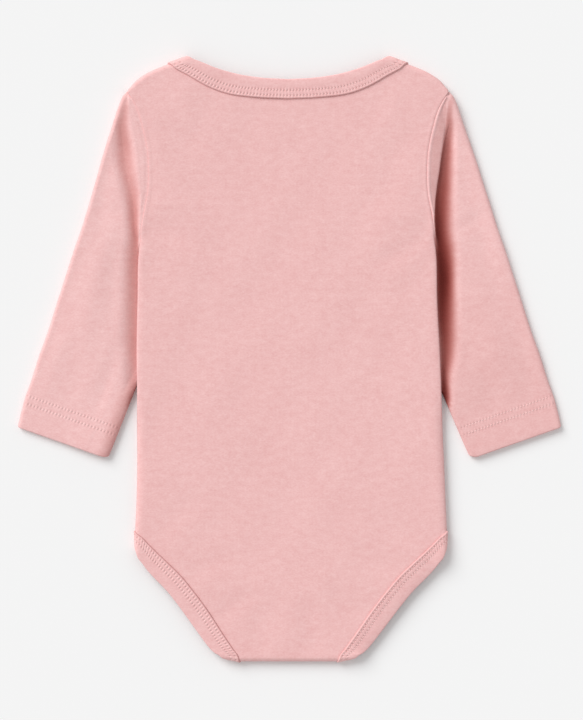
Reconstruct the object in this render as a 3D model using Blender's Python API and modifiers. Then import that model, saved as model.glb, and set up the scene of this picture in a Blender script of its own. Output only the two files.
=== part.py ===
"""A long-sleeved baby onesie with a lap shoulder, laid flat on its front.

Units in the tables are millimetres. X runs across the garment, +Y towards the neck and +Z up
from the surface it lies on. The origin is on that surface, at the middle of the garment.
The back panel is on top. The front panel lies on the surface and rises over the parts of the
sleeves and of the shoulder laps that are tucked under it.
"""
import bmesh
import bpy
import numpy as np

MM = 0.001

# Driving sizes.
CLOTH = 1.1             # thickness of one layer of interlock
HALF = CLOTH / 2
SEAM_GAP = 0.4          # space between sewn pieces
BAND = 1.8              # thickness of a folded binding
BAND_RAISED = 0.5       # how far a binding stands above the panel it edges
LEG_BAND_WIDTH = 12.0
NECK_BAND_WIDTH = 12.0
BAND_LEAN = 1.6         # how much wider a leg binding lies where it turns the crotch fold
BAND_SET_BACK = 0.35    # how far a binding's raised edge is set back at its seam
BAND_ROUNDING = 0.9     # how far in from its free edge a binding starts to round over
TAB_BAND_RAISED = 0.75  # how far a leg binding stands out from the back tab's wall
FOLD_BAND_RAISED = 0.55  # the same, where it meets the crotch fold
BACK_LEVEL = 4.1        # middle of the back panel's wall over the open body
CROTCH_LEVEL = 4.7      # the same, over the snapped tabs
SHOULDER_LEVEL = 5.3    # the same, over the sleeves and the shoulder laps
SLEEVE_UNDER = 2.1      # middle of a sleeve's upper wall where the body lies on it
SLEEVE_OPEN = 3.3       # the same, beside the body
OVER_SLEEVE = 3.0       # lowest face of the front panel over a tucked sleeve
OVER_LAP = 2.2          # the same, over a shoulder lap
EDGE_ROUND = 4.5        # how far in from its side edge the body starts to round over
EDGE_FADE = 3.0         # length over which that rounding comes and goes along the edge
UNDERARM = 80.1
HIP = -111.0
LEG_TOP = -115.0        # where the leg bindings leave the panels to turn round the hip
HIP_FREE = (101.7, -124.8)  # the outermost place of a leg binding's free edge
BACK_YOKE = 142.5       # above this the back's rows run to its neckline
FRONT_YOKE = 89.2       # above this the front's rows run to its neckline
CROTCH_FOLD = -196.5
TAB_LEVEL = 2.85        # middle of the back tab's wall, over the front tab
BACK_TAB_END = -168.0
FRONT_TAB_END = -186.5
HIP_GAP = 1.0           # the space where a leg binding turns round the hip
SNAP_RADIUS = 5.0
SNAP_PITCH = 19.0
SNAP_Y = -177.5
SNAP_HEIGHT = 1.6
SNAP_TAPER = 0.3        # how much smaller a snap's cap is at its upper end
HOLE_DEPTH = 3.0
ROUND_SIDES = 20        # flat sides of a snap and of its hole
FOLD_INSET = 2.6        # from a sleeve's fold to where it starts to turn
STRIP_LIFT = 0.1        # how far a sleeve's strip stands above the shoulders
SLEEVE_DROP = 0.35      # how far a sleeve's top lies below them

PINK = (0.83, 0.49, 0.475)
CAP_WHITE = (0.86, 0.80, 0.79)


class Table:
    """Rows of sizes with named columns, read smoothly along the first column."""

    def __init__(self, columns, rows):
        self.columns = columns.split()
        self.rows = np.array(sorted(rows), dtype=float)

    def at(self, name, where):
        """The named column at a place along the first one, as a cubic through the rows."""
        key = self.rows[:, 0]
        value = self.rows[:, self.columns.index(name)]
        slope = np.gradient(value, key)
        where = float(np.clip(where, key[0], key[-1]))
        i = int(np.clip(np.searchsorted(key, where) - 1, 0, len(key) - 2))
        step = key[i + 1] - key[i]
        t = (where - key[i]) / step
        return float((2 * t ** 3 - 3 * t ** 2 + 1) * value[i]
                     + (t ** 3 - 2 * t ** 2 + t) * step * slope[i]
                     + (3 * t ** 2 - 2 * t ** 3) * value[i + 1]
                     + (t ** 3 - t ** 2) * step * slope[i + 1])


# Half width of both panels at the side seam, then at the armhole seam.
SIDE = Table("y half", [
    (-111, 101.4), (-91.5, 100.5), (-59, 99.6), (-26.5, 99.3), (6, 99), (38.5, 98), (71, 97),
    (80.1, 95.9), (89.2, 94.3), (97.7, 92.8), (105.5, 91.3), (113.3, 90.5), (123, 90.4),
    (132.8, 90.8), (142.5, 92.3), (151, 94.3), (160.1, 96.9), (167.2, 100.1), (173.1, 104)])

# Where the back panel meets its leg binding, and the binding's free edge beside it.
BACK_LEG = Table("y half free_x free_y", [
    (-194.2, 32.4, 45.6, -192.6), (-186.5, 37.7, 50.3, -190.3), (-177.3, 44, 54.2, -184.5),
    (-163, 53.6, 63.4, -172.2), (-150, 63.4, 72.9, -159.4), (-139.6, 72.2, 81.1, -149.4),
    (-128.5, 83.9, 91.2, -139.2), (-119.4, 93.3, 96.7, -132.0), (-115, 97.7, 99.6, -127.9)])

# The back tab, under the crotch fold.
BACK_TAB = Table("y half", [
    (-194.2, 30.6), (-190.5, 28.4), (-187, 27), (-180, 25.6), (-168, 25)])

# The front's leg edge is cut deeper and ends in the front tab.
FRONT_LEG = Table("y half free_x free_y", [
    (-186.5, 25.0, 37.0, -186.5), (-178, 27.3, 38.8, -181.5), (-168, 33.2, 43.6, -174.0),
    (-158, 41, 50.2, -165.8), (-148, 50.6, 59.4, -156.2), (-138, 62.5, 70.2, -147.2),
    (-128, 76.2, 82.4, -138.3), (-120, 88, 92.2, -132.2), (-115, 95.2, 98.0, -127.6)])

# The back neckline: fraction of the half width, seam height, and the binding's free edge.
BACK_NECK = Table("part y free_x free_y", [
    (0, 169.2, 0, 181.9), (0.2, 170.1, 17.7, 182.9), (0.388, 172.8, 34.3, 185.6),
    (0.519, 178.1, 46.5, 189.3), (0.6375, 185.2, 57.2, 194.0), (0.7375, 190.4, 64.8, 196.4)])
NECK_CORNER = 0.7375

# The front neckline, cut lower, with the hump of the front shoulder that the lap covers.
FRONT_NECK = Table("part y free_x free_y", [
    (0, 114.3, 0, 127), (0.199, 116.4, 15, 128.7), (0.387, 122.8, 29, 134),
    (0.55, 133.5, 41, 142.5), (0.665, 147, 50.5, 154), (0.737, 157.5, 61, 165),
    (0.806, 163.5, 72, 173), (0.88, 165.5, 84, 177), (0.941, 163.8, 92.5, 175.3),
    (1, 160.5, 99.6, 170.6)])

# The shoulder fold, by part of the half width.
SHOULDER = Table("part x y", [
    (0.7375, 76.7, 192.3), (0.80, 83.6, 189.7), (0.87, 91.0, 186.4), (0.94, 98.8, 181.2),
    (1, 104.7, 175.0)])

# The shoulder lap under it: where its cloth meets the binding, and the binding's free edge.
LAP = Table("part x y free_x free_y", [
    (0.7375, 76.2, 186.6, 65.2, 191.5), (0.80, 80.3, 179.6, 69.4, 183.6),
    (0.87, 85.2, 171.2, 75.0, 173.2), (0.94, 90.2, 163.4, 82.2, 159.8),
    (1, 95.6, 157.0, 91.6, 143.5)])

# How far the sleeve reaches in under the panels, or the lap's free edge above Y 130.
TUCK = Table("y inner", [
    (-63.5, 119.3), (-39.5, 109.4), (-15.4, 99.5), (2.5, 91.5), (24, 82), (44.5, 73.5),
    (64, 67.5), (80, 66.3), (94, 70.5), (107, 81), (120.5, 89), (131, 89.5), (141, 87),
    (153, 79), (169, 71), (183, 65), (197, 59)])

# The sleeve's two folds, from the shoulder (0) to the cuff (1).
SLEEVE = Table("part outer_x outer_y inner_x inner_y", [
    (0, 105.2, 174.4, 101.9, 167.4), (0.04, 108.9, 168.5, 100.2, 164.6),
    (0.08, 111.2, 162, 98.3, 160.4), (0.13, 114.5, 152, 95.4, 151),
    (0.19, 117.7, 142.5, 93.2, 142), (0.26, 121.9, 129.5, 91.7, 131),
    (0.33, 126.5, 114, 89.5, 120), (0.40, 131.1, 99, 81, 107), (0.47, 135.6, 84.5, 70.5, 94),
    (0.53, 140, 72, 66.3, 80), (0.60, 145, 56.5, 67.5, 64), (0.68, 150.8, 38.5, 73.5, 44.5),
    (0.76, 157, 19, 82, 24), (0.84, 163.6, 0.5, 91.5, 2.5), (0.90, 168, -13.5, 99.5, -15.4),
    (0.95, 172.6, -26.5, 109.4, -39.5), (1, 176.8, -43.4, 119.3, -63.5)])

# The strip of each sleeve that stays at the body's height beyond the armhole seam, and how
# far beyond that the sleeve takes to fall to its own height.
STRIP = {
    1: Table("y width fall", [
        (80, 1.6, 0.6), (88.6, 1.8, 0.5), (96, 2.5, 0.2), (109.6, 4.5, 0.1), (117, 6.0, 0.1),
        (123, 7.0, 0.1), (129, 8.0, 0.3), (155, 8.3, 1.5), (174, 3.4, 2.6)]),
    -1: Table("y width fall", [
        (80, 1.6, 2.0), (99, 4.6, 4.6), (118, 7.6, 6.4), (129.5, 8.2, 7.0), (149, 7.6, 6.0),
        (160, 5.6, 4.2), (174, 3.2, 2.6)])}

# Columns of a panel, as parts of its half width; the last four round over the side edge.
COLUMNS = [0, 0.14, 0.27, 0.388, 0.5, 0.6, 0.675, NECK_CORNER, 0.8, 0.87, 0.92, 0.955,
           0.985, 1]
FOLD_STEPS = [40, 90, 140, 180]


def ramp(start, end, value):
    """0 before start, 1 after end, smooth between."""
    t = np.clip((value - start) / (end - start), 0, 1)
    return float(t * t * (3 - 2 * t))


def unit(vector):
    """The vector at length 1."""
    vector = np.asarray(vector, dtype=float)
    return vector / np.linalg.norm(vector)


def front_level(x, y):
    """Middle of the front panel's wall."""
    lift = OVER_SLEEVE + (OVER_LAP - OVER_SLEEVE) * ramp(118, 134, y)
    return HALF + lift * ramp(-15, -3, abs(x) - TUCK.at("inner", y))


def back_level(x, y):
    """Middle of the back panel's wall, before its side edges round over."""
    side = (SHOULDER_LEVEL - BACK_LEVEL) * ramp(-26, -3, abs(x) - TUCK.at("inner", y))
    crotch = (CROTCH_LEVEL - BACK_LEVEL) * ramp(-146, -166, y)
    return BACK_LEVEL + side + crotch


def half_width(y, leg):
    """Half width of a panel at its seams."""
    return leg.at("half", y) if y < HIP else SIDE.at("half", y)


def edge_turn(y):
    """1 where the panels round over to a side seam, 0 at the armholes and legs."""
    return ramp(UNDERARM + EDGE_FADE, UNDERARM - EDGE_FADE, y) * ramp(HIP - EDGE_FADE, HIP, y)


def rounded_level(x, y, half, other, level):
    """A panel's level, turned towards the side seam where it nears its side edge."""
    sine = np.clip(1 - (half - abs(x)) / EDGE_ROUND, 0, 1)
    seam = (level + other) / 2 + np.sign(level - other) * (HALF + SEAM_GAP / 2)
    return level - edge_turn(y) * (level - seam) * (1 - np.sqrt(1 - sine ** 2))


def back_point(part, y):
    """A point of the back panel's upper layer."""
    half = half_width(y, BACK_LEG)
    x = part * half
    level = rounded_level(x, y, half, front_level(x, y), back_level(x, y))
    rolled = HALF * edge_turn(y)
    return [x - np.sign(part) * rolled * ramp(0.95, 1, abs(part)), y, level]


def front_point(part, y):
    """A point of the front panel."""
    half = half_width(y, FRONT_LEG)
    inset = SEAM_GAP * ramp(UNDERARM - 6, UNDERARM, y)
    x = part * (half - inset)
    level = rounded_level(x, y, half, back_level(x, y), front_level(x, y))
    rolled = HALF * edge_turn(y)
    return [x - np.sign(part) * rolled * ramp(0.95, 1, abs(part)), y, level]


def shoulder_normal(part):
    """The direction square to the shoulder fold, away from the body."""
    step = 0.01
    low = max(part - step, NECK_CORNER)
    high = min(part + step, 1)
    run = SHOULDER.at("x", high) - SHOULDER.at("x", low)
    rise = SHOULDER.at("y", high) - SHOULDER.at("y", low)
    return unit([-rise, run])


def shoulder_axis(part):
    """The axis of the shoulder fold at a column, and the fold's radius to mid-wall."""
    radius = (SHOULDER_LEVEL - HALF) / 2
    edge = np.array([SHOULDER.at("x", part), SHOULDER.at("y", part)])
    return edge - shoulder_normal(part) * (radius + HALF), radius


def column_signs(columns):
    """The columns from the left edge to the right one."""
    return [-part for part in reversed(columns[1:])] + list(columns)


def back_rows():
    """Rows of the back panel: tab, crotch fold, body, shoulder folds and laps."""
    columns = column_signs(COLUMNS)
    radius = (CROTCH_LEVEL - HALF) / 2
    axis_y = CROTCH_FOLD + radius + HALF
    rows = []
    for y in (BACK_TAB_END, -178, -185, -187.8, -191, axis_y):
        half = BACK_TAB.at("half", y)
        level = HALF + (TAB_LEVEL - HALF) * ramp(-194, -187.8, y)
        rows.append([[part * half, y, level] for part in columns])
    for angle in reversed(FOLD_STEPS[:-1]):
        turn = np.radians(angle)
        share = angle / 180
        half = BACK_LEG.at("half", axis_y) * (1 - share) + BACK_TAB.at("half", axis_y) * share
        rows.append([[part * half, axis_y - radius * np.sin(turn),
                      HALF + radius + radius * np.cos(turn)] for part in columns])
    leg_ys = [axis_y, -185.5, -177.3, -168, -158, -148, -139.6, -131.5, -124, -119, LEG_TOP]
    side_ys = [HIP, -80, -50, -26.5, -10, 8, 26, 44, 60, 72, UNDERARM, 89.2, 97.7, 107, 118, 130]
    for y in leg_ys + side_ys:
        rows.append([back_point(part, y) for part in columns])
    for blend in (0, 0.35, 0.7, 1):
        row = []
        for part in columns:
            size = abs(part)
            if size <= NECK_CORNER - 0.01:
                y = BACK_YOKE + (BACK_NECK.at("y", size) - BACK_YOKE) * blend
                point = back_point(part, y)
            else:
                (axis_x, axis_top), _ = shoulder_axis(size)
                y = BACK_YOKE + (axis_top - BACK_YOKE) * blend
                point = back_point(part, y)
                shift = axis_x - size * half_width(axis_top, BACK_LEG)
                point[0] += np.sign(part) * shift * blend
                point[2] += (SHOULDER_LEVEL - point[2]) * ramp(0.6, 1, blend)
            row.append(point)
        rows.append(row)
    for angle in FOLD_STEPS:
        rows.append([lap_point(part, angle, 0) for part in columns])
    for along in (0.5, 1):
        rows.append([lap_point(part, 180, along) for part in columns])
    return rows


def lap_point(part, angle, along):
    """A point of the shoulder fold or of the lap under it; None beside the neck."""
    size = abs(part)
    if size < NECK_CORNER - 0.01:
        return None
    axis, radius = shoulder_axis(size)
    turn = np.radians(angle)
    place = axis + shoulder_normal(size) * radius * np.sin(turn)
    end = np.array([LAP.at("x", size), LAP.at("y", size)])
    place = place + (end - place) * along
    return [np.sign(part) * place[0], place[1], HALF + radius + radius * np.cos(turn)]


def front_rows():
    """Rows of the front panel, from the end of its tab to its neckline."""
    columns = column_signs(COLUMNS)
    leg_ys = [FRONT_TAB_END, -178, -168, -158, -148, -138, -129, -121, LEG_TOP]
    side_ys = [HIP, -80, -50, -35, -20, -5, 10, 25, 40, 52, 62, 71, UNDERARM]
    rows = [[front_point(part, y) for part in columns] for y in leg_ys + side_ys]
    for blend in (0, 0.14, 0.28, 0.45, 0.62, 0.8, 1):
        tops = [FRONT_NECK.at("y", abs(part)) for part in columns]
        rows.append([front_point(part, FRONT_YOKE + (top - FRONT_YOKE) * blend)
                     for part, top in zip(columns, tops)])
    return rows


def sleeve_level(x, y, side):
    """Middle of a sleeve's upper wall."""
    edge = SIDE.at("half", y)
    reach = STRIP[side].at("width", y) + STRIP[side].at("fall", y) if y > UNDERARM else 1.5
    beside = ramp(reach, reach + 11, abs(x) - edge)
    level = SLEEVE_UNDER + (SLEEVE_OPEN - SLEEVE_UNDER) * beside
    return level + (SHOULDER_LEVEL - SLEEVE_DROP - level) * ramp(134, 164, y)


def sleeve_ring(part, side, across, turns):
    """A closed ring of a sleeve's wall: upper layer, inner fold, lower layer, outer fold."""
    outer = np.array([SLEEVE.at("outer_x", part), SLEEVE.at("outer_y", part)])
    inner = np.array([SLEEVE.at("inner_x", part), SLEEVE.at("inner_y", part)])
    inward = unit(inner - outer)
    width = np.linalg.norm(inner - outer)
    round_in = min(FOLD_INSET, width / 2 - 0.1)
    start = outer + inward * round_in
    end = inner - inward * round_in
    ring = []
    for step in range(across + 1):
        place = start + (end - start) * step / across
        ring.append([place[0], place[1], sleeve_level(place[0], place[1], side)])
    for centre, away, top in ((end, inward, ring[-1][2]), (start, -inward, ring[0][2])):
        radius = (top - HALF) / 2
        angles = [180 * (k + 1) / (turns + 1) for k in range(turns)]
        if centre is start:
            angles.reverse()
            below = [end + (start - end) * k / across for k in range(across + 1)]
            ring += [[place[0], place[1], HALF] for place in below]
        for angle in angles:
            turn = np.radians(angle)
            place = centre + away * (round_in - HALF) * np.sin(turn)
            ring.append([place[0], place[1], HALF + radius + radius * np.cos(turn)])
    return ring


def cap_rows(side):
    """The top of a sleeve beside the armhole seam: ridge, strip, and the fall to the sleeve."""
    edge = [(SIDE.at("half", y), y) for y in
            (UNDERARM + 0.8, 84.5, 89.2, 93.5, 97.7, 107, 118, 130, BACK_YOKE)]
    (axis_x, axis_y), _ = shoulder_axis(1)
    for blend in (0.35, 0.7, 0.95):
        y = BACK_YOKE + (axis_y - BACK_YOKE) * blend
        shift = axis_x - half_width(axis_y, BACK_LEG)
        edge.append((SIDE.at("half", y) + shift * blend, y))
    rows = []
    for k, place in enumerate(edge):
        place = np.array(place)
        before = np.array(edge[max(k - 1, 0)])
        after = np.array(edge[min(k + 1, len(edge) - 1)])
        direction = unit(after - before)
        out = np.array([direction[1], -direction[0]])
        width = STRIP[side].at("width", place[1])
        fall = STRIP[side].at("fall", place[1])
        foot = place + out * (SEAM_GAP + width + fall)
        low = sleeve_level(foot[0], foot[1], side)
        high = max(SHOULDER_LEVEL + STRIP_LIFT, low)
        row = []
        for share, lift in ((0, 0), (0.22, 0.55), (0.48, 0.5), (0.72, 0.05), (0.93, -0.2)):
            at = place + out * (SEAM_GAP + width * share)
            row.append([at[0], at[1], high + lift * ramp(0, 4, width)])
        for share, drop in ((0.25, 0.3), (0.75, 0.72), (1, 1)):
            at = place + out * (SEAM_GAP + width + fall * share)
            row.append([at[0], at[1], high + (low - high) * drop])
        rows.append(row)
    return rows


def band_section(station, raised, thickness):
    """The section of a folded binding: square at its seam and round at its free edge."""
    seam, free, normal = (np.array(value, dtype=float) for value in station)
    across = unit(free - seam)
    width = np.linalg.norm(free - seam)
    low = raised - thickness
    middle = (raised + low) / 2
    turn = width - BAND_ROUNDING
    outline = [(0, low), (0, raised - BAND_SET_BACK), (BAND_SET_BACK, raised), (width / 2, raised),
               (turn, raised), (width, middle), (turn, low), (width / 2, low)]
    return [seam + across * along + normal * up for along, up in outline]


def leg_stations(side):
    """Stations of a leg binding: back tab, crotch fold, back leg, hip, front leg, front tab."""
    radius = (CROTCH_LEVEL - HALF) / 2
    axis_y = CROTCH_FOLD + radius + HALF
    down = np.array([0, 0, -1.0])
    up = np.array([0, 0, 1.0])
    found = []

    def add(half, y, level, free, normal, raised):
        seam = np.array([half, y, level])
        free = np.array([free[0], free[1], level])
        seam = seam + unit(free - seam) * SEAM_GAP
        found.append((seam, free, normal, raised))

    for y in (BACK_TAB_END, -178, -185, -187.8, -191, axis_y):
        half = BACK_TAB.at("half", y)
        level = HALF + (TAB_LEVEL - HALF) * ramp(-194, -187.8, y)
        lean = BAND_LEAN * ramp(-186, axis_y, y)
        lower = TAB_BAND_RAISED - FOLD_BAND_RAISED
        raised = TAB_BAND_RAISED - lower * ramp(-188, axis_y, y)
        add(half, y, level, (half + LEG_BAND_WIDTH + lean, y + lean), down, raised)
    low_half = BACK_TAB.at("half", axis_y)
    high_half = BACK_LEG.at("half", axis_y)
    for angle in reversed(FOLD_STEPS[:-1]):
        turn = np.radians(angle)
        share = angle / 180
        half = high_half * (1 - share) + low_half * share
        normal = np.array([0, -np.sin(turn), np.cos(turn)])
        y = axis_y - radius * np.sin(turn)
        level = HALF + radius + radius * np.cos(turn)
        low_free = low_half + LEG_BAND_WIDTH + BAND_LEAN
        free_x = BACK_LEG.at("free_x", axis_y) * (1 - share) + low_free * share
        add(half, y, level, (free_x, y + BAND_LEAN), normal, HALF + (1 - share) * BAND_RAISED)
    for y in (axis_y, -185.5, -177.3, -168, -158, -148, -139.6, -131.5, -124, -119, LEG_TOP):
        half = BACK_LEG.at("half", y)
        free = (BACK_LEG.at("free_x", y), BACK_LEG.at("free_y", y))
        add(half, y, back_level(half, y), free, up, HALF + BAND_RAISED)
    top_level = back_level(BACK_LEG.at("half", LEG_TOP), LEG_TOP)
    middle = (top_level + HALF) / 2
    rise = (top_level - HALF) / 2
    side_seam = np.array([SIDE.at("half", HIP) - HALF, HIP - HIP_GAP])
    side_free = np.array(HIP_FREE)
    for angle in (35, 65, 90, 115, 145):
        turn = np.radians(angle)
        out = np.sin(turn)
        panel = BACK_LEG if angle < 90 else FRONT_LEG
        seam = np.array([panel.at("half", LEG_TOP), LEG_TOP - HIP_GAP])
        free = np.array([panel.at("free_x", LEG_TOP), panel.at("free_y", LEG_TOP)])
        level = middle + rise * np.cos(turn)
        found.append((np.append(seam + (side_seam - seam) * out, level),
                      np.append(free + (side_free - free) * out, level),
                      np.array([out, 0, np.cos(turn)]),
                      HALF + BAND_RAISED * (1 - angle / 180)))
    for y in (LEG_TOP, -121, -129, -138, -148, -158, -168, -178, FRONT_TAB_END):
        half = FRONT_LEG.at("half", y)
        free = (FRONT_LEG.at("free_x", y), FRONT_LEG.at("free_y", y))
        add(half, y, HALF, free, down, HALF)
    return [([side * seam[0], seam[1], seam[2]], [side * free[0], free[1], free[2]],
             [side * normal[0], normal[1], normal[2]], raised)
            for seam, free, normal, raised in found]


def mirrored_stations(half):
    """Stations from the middle to the right end, led by their mirror images."""
    flip = np.array([-1.0, 1.0, 1.0])
    left = [(seam * flip, free * flip, normal * flip, raised)
            for seam, free, normal, raised in reversed(half[1:])]
    return left + half


def back_neck_stations():
    """Stations of the back neck binding, to the armhole end of each shoulder lap."""
    up = np.array([0, 0, 1.0])
    down = -up
    found = []
    for part in [part for part in COLUMNS if part < NECK_CORNER - 0.01]:
        point = np.array(back_point(part, BACK_NECK.at("y", part)))
        free = np.array([BACK_NECK.at("free_x", part), BACK_NECK.at("free_y", part), 0])
        free[2] = point[2] + (SHOULDER_LEVEL - point[2]) * ramp(0.5, 0.7, part)
        point[2] = free[2]
        found.append((point + unit(free - point) * SEAM_GAP, free, up, HALF + BAND_RAISED))
    axis, radius = shoulder_axis(NECK_CORNER)
    out = np.append(shoulder_normal(NECK_CORNER), 0)
    along = np.array([-out[1], out[0], 0])
    for angle in [0] + FOLD_STEPS:
        turn = np.radians(angle)
        centre = np.array([axis[0], axis[1], HALF + radius])
        normal = out * np.sin(turn) + up * np.cos(turn)
        point = centre + normal * radius
        found.append((point + along * SEAM_GAP, point + along * (NECK_BAND_WIDTH + SEAM_GAP), normal,
                      HALF + BAND_RAISED * (1 - angle / 180)))
    for part in [part for part in COLUMNS if part >= NECK_CORNER]:
        point = np.array([LAP.at("x", part), LAP.at("y", part), HALF])
        free = np.array([LAP.at("free_x", part), LAP.at("free_y", part), HALF])
        found.append((point + unit(free - point) * SEAM_GAP, free, down, HALF))
    return mirrored_stations(found)


def front_neck_stations():
    """Stations of the front neck binding, from armhole to armhole."""
    down = np.array([0, 0, -1.0])
    found = []
    for part in COLUMNS:
        point = np.array(front_point(part, FRONT_NECK.at("y", part)))
        free = np.array([FRONT_NECK.at("free_x", part), FRONT_NECK.at("free_y", part), 0])
        free[2] = front_level(free[0], free[1])
        found.append((point + unit(free - point) * SEAM_GAP, free, down, HALF))
    return mirrored_stations(found)


def material(name, colour, roughness):
    """A Principled material of one colour."""
    made = bpy.data.materials.new(name)
    made.use_nodes = True
    shader = made.node_tree.nodes["Principled BSDF"]
    shader.inputs["Base Color"].default_value = (*colour, 1)
    shader.inputs["Roughness"].default_value = roughness
    shader.inputs["Metallic"].default_value = 0
    made.diffuse_color = (*colour, 1)
    return made


def new_object(name, mesh, collection, colour=PINK, roughness=0.95):
    """A named object with its own material."""
    made = bpy.data.objects.new(name, mesh)
    collection.objects.link(made)
    mesh.materials.append(material(name, colour, roughness))
    return made


def surface(name, rows, ring=False):
    """An open surface through rows of points in mm; a ring's rows close on themselves."""
    work = bmesh.new()
    made = [[None if point is None else work.verts.new([value * MM for value in point])
             for point in row] for row in rows]
    for lower, upper in zip(made, made[1:]):
        count = len(lower)
        for k in range(count if ring else count - 1):
            after = (k + 1) % count
            corners = [lower[k], lower[after], upper[after], upper[k]]
            if None not in corners:
                work.faces.new(corners)
    loose = [vert for vert in work.verts if not vert.link_faces]
    bmesh.ops.delete(work, geom=loose, context="VERTS")
    mesh = bpy.data.meshes.new(name)
    work.to_mesh(mesh)
    work.free()
    return mesh


def shell(made):
    """Gives a cloth surface its thickness, half to each side."""
    wall = made.modifiers.new("cloth", "SOLIDIFY")
    wall.thickness = CLOTH * MM
    wall.offset = 0
    wall.use_quality_normals = True


def closed_loft(name, sections):
    """A solid through sections that have the same number of points."""
    work = bmesh.new()
    rings = [[work.verts.new([value * MM for value in point]) for point in section]
             for section in sections]
    for lower, upper in zip(rings, rings[1:]):
        for k in range(len(lower)):
            after = (k + 1) % len(lower)
            work.faces.new([lower[k], lower[after], upper[after], upper[k]])
    work.faces.new(rings[0])
    work.faces.new(list(reversed(rings[-1])))
    bmesh.ops.recalc_face_normals(work, faces=work.faces)
    mesh = bpy.data.meshes.new(name)
    work.to_mesh(mesh)
    work.free()
    return mesh


def binding(name, stations, collection):
    """A folded binding through its stations."""
    sections = [band_section(station[:3], station[3], BAND) for station in stations]
    return new_object(name, closed_loft(name, sections), collection)


def sleeve(name, side, collection, cutters):
    """A sleeve: the tube that lies on the surface, joined to its cap by the armhole."""
    steps = [0, 0.03, 0.06, 0.095, 0.13, 0.19, 0.26, 0.33, 0.365, 0.40, 0.435, 0.47, 0.50, 0.53,
             0.565, 0.60, 0.68, 0.76, 0.84, 0.90, 0.95, 1]
    rings = [sleeve_ring(part, side, 7, 3) for part in steps]
    rings = [[[side * x, y, z] for x, y, z in ring] for ring in rings]
    tube = new_object(name, surface(name, rings, ring=True), collection)
    shell(tube)
    rows = [[[side * x, y, z] for x, y, z in row] for row in cap_rows(side)]
    cap = new_object(name + "_cap", surface(name + "_cap", rows), cutters)
    cap.hide_render = True
    cap.display_type = "WIRE"
    shell(cap)
    join = tube.modifiers.new("cap", "BOOLEAN")
    join.operation = "UNION"
    join.object = cap
    return tube


def snap(name, x, collection):
    """A closed snap's cap, let into the front tab."""
    work = bmesh.new()
    bmesh.ops.create_cone(work, cap_ends=True, segments=ROUND_SIDES, radius1=SNAP_RADIUS * MM,
                          radius2=(SNAP_RADIUS - SNAP_TAPER) * MM, depth=SNAP_HEIGHT * MM)
    mesh = bpy.data.meshes.new(name)
    work.to_mesh(mesh)
    work.free()
    made = new_object(name, mesh, collection, CAP_WHITE, 0.35)
    made.location = (x * MM, SNAP_Y * MM, SNAP_HEIGHT / 2 * MM)
    return made


def snap_hole(panel, x, cutters):
    """Cuts a snap's round hole through the front tab."""
    work = bmesh.new()
    radius = (SNAP_RADIUS + SEAM_GAP) * MM
    bmesh.ops.create_cone(work, cap_ends=True, segments=ROUND_SIDES, radius1=radius, radius2=radius,
                          depth=HOLE_DEPTH * MM)
    mesh = bpy.data.meshes.new("snap_hole")
    work.to_mesh(mesh)
    work.free()
    cutter = bpy.data.objects.new("snap_hole", mesh)
    cutters.objects.link(cutter)
    cutter.location = (x * MM, SNAP_Y * MM, HALF * MM)
    cutter.hide_render = True
    cutter.display_type = "WIRE"
    cut = panel.modifiers.new("snap hole", "BOOLEAN")
    cut.operation = "DIFFERENCE"
    cut.object = cutter


def main():
    """Every piece of the garment, each an object of its own."""
    for old in list(bpy.data.objects):
        bpy.data.objects.remove(old, do_unlink=True)
    collection = bpy.data.collections.new("baby_onesie")
    cutters = bpy.data.collections.new("cutters")
    bpy.context.scene.collection.children.link(collection)
    bpy.context.scene.collection.children.link(cutters)

    back = new_object("back_panel", surface("back_panel", back_rows()), collection)
    shell(back)
    front = new_object("front_panel", surface("front_panel", front_rows()), collection)
    shell(front)
    sleeve("sleeve_left", -1, collection, cutters)
    sleeve("sleeve_right", 1, collection, cutters)
    binding("neck_binding_back", back_neck_stations(), collection)
    binding("neck_binding_front", front_neck_stations(), collection)
    binding("leg_binding_left", leg_stations(-1), collection)
    binding("leg_binding_right", leg_stations(1), collection)
    for number, step in enumerate((-1, 0, 1), start=1):
        snap(f"snap_{number}", step * SNAP_PITCH, collection)
        snap_hole(front, step * SNAP_PITCH, cutters)


main()
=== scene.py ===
"""The looks of a long-sleeved baby onesie that lies flat with its back up.

Lengths in the tables and functions are millimetres; meshes are made in metres. The cloth
follows the solids' own outlines and levels, with rounder edges, creases, folded bindings,
a turned hem at each cuff, seams and twin-needle stitching.
"""
from functools import partial

import bmesh
import bpy
import numpy as np
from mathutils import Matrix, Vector


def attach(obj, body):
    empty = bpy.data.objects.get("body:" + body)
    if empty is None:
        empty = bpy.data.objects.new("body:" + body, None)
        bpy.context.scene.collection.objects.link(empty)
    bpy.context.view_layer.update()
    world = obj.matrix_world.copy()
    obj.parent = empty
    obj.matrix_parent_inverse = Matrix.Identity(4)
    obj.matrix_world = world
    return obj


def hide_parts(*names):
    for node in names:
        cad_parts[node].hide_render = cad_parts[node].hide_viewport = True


MM = 0.001
WELD_REACH = 0.00002     # in metres

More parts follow.
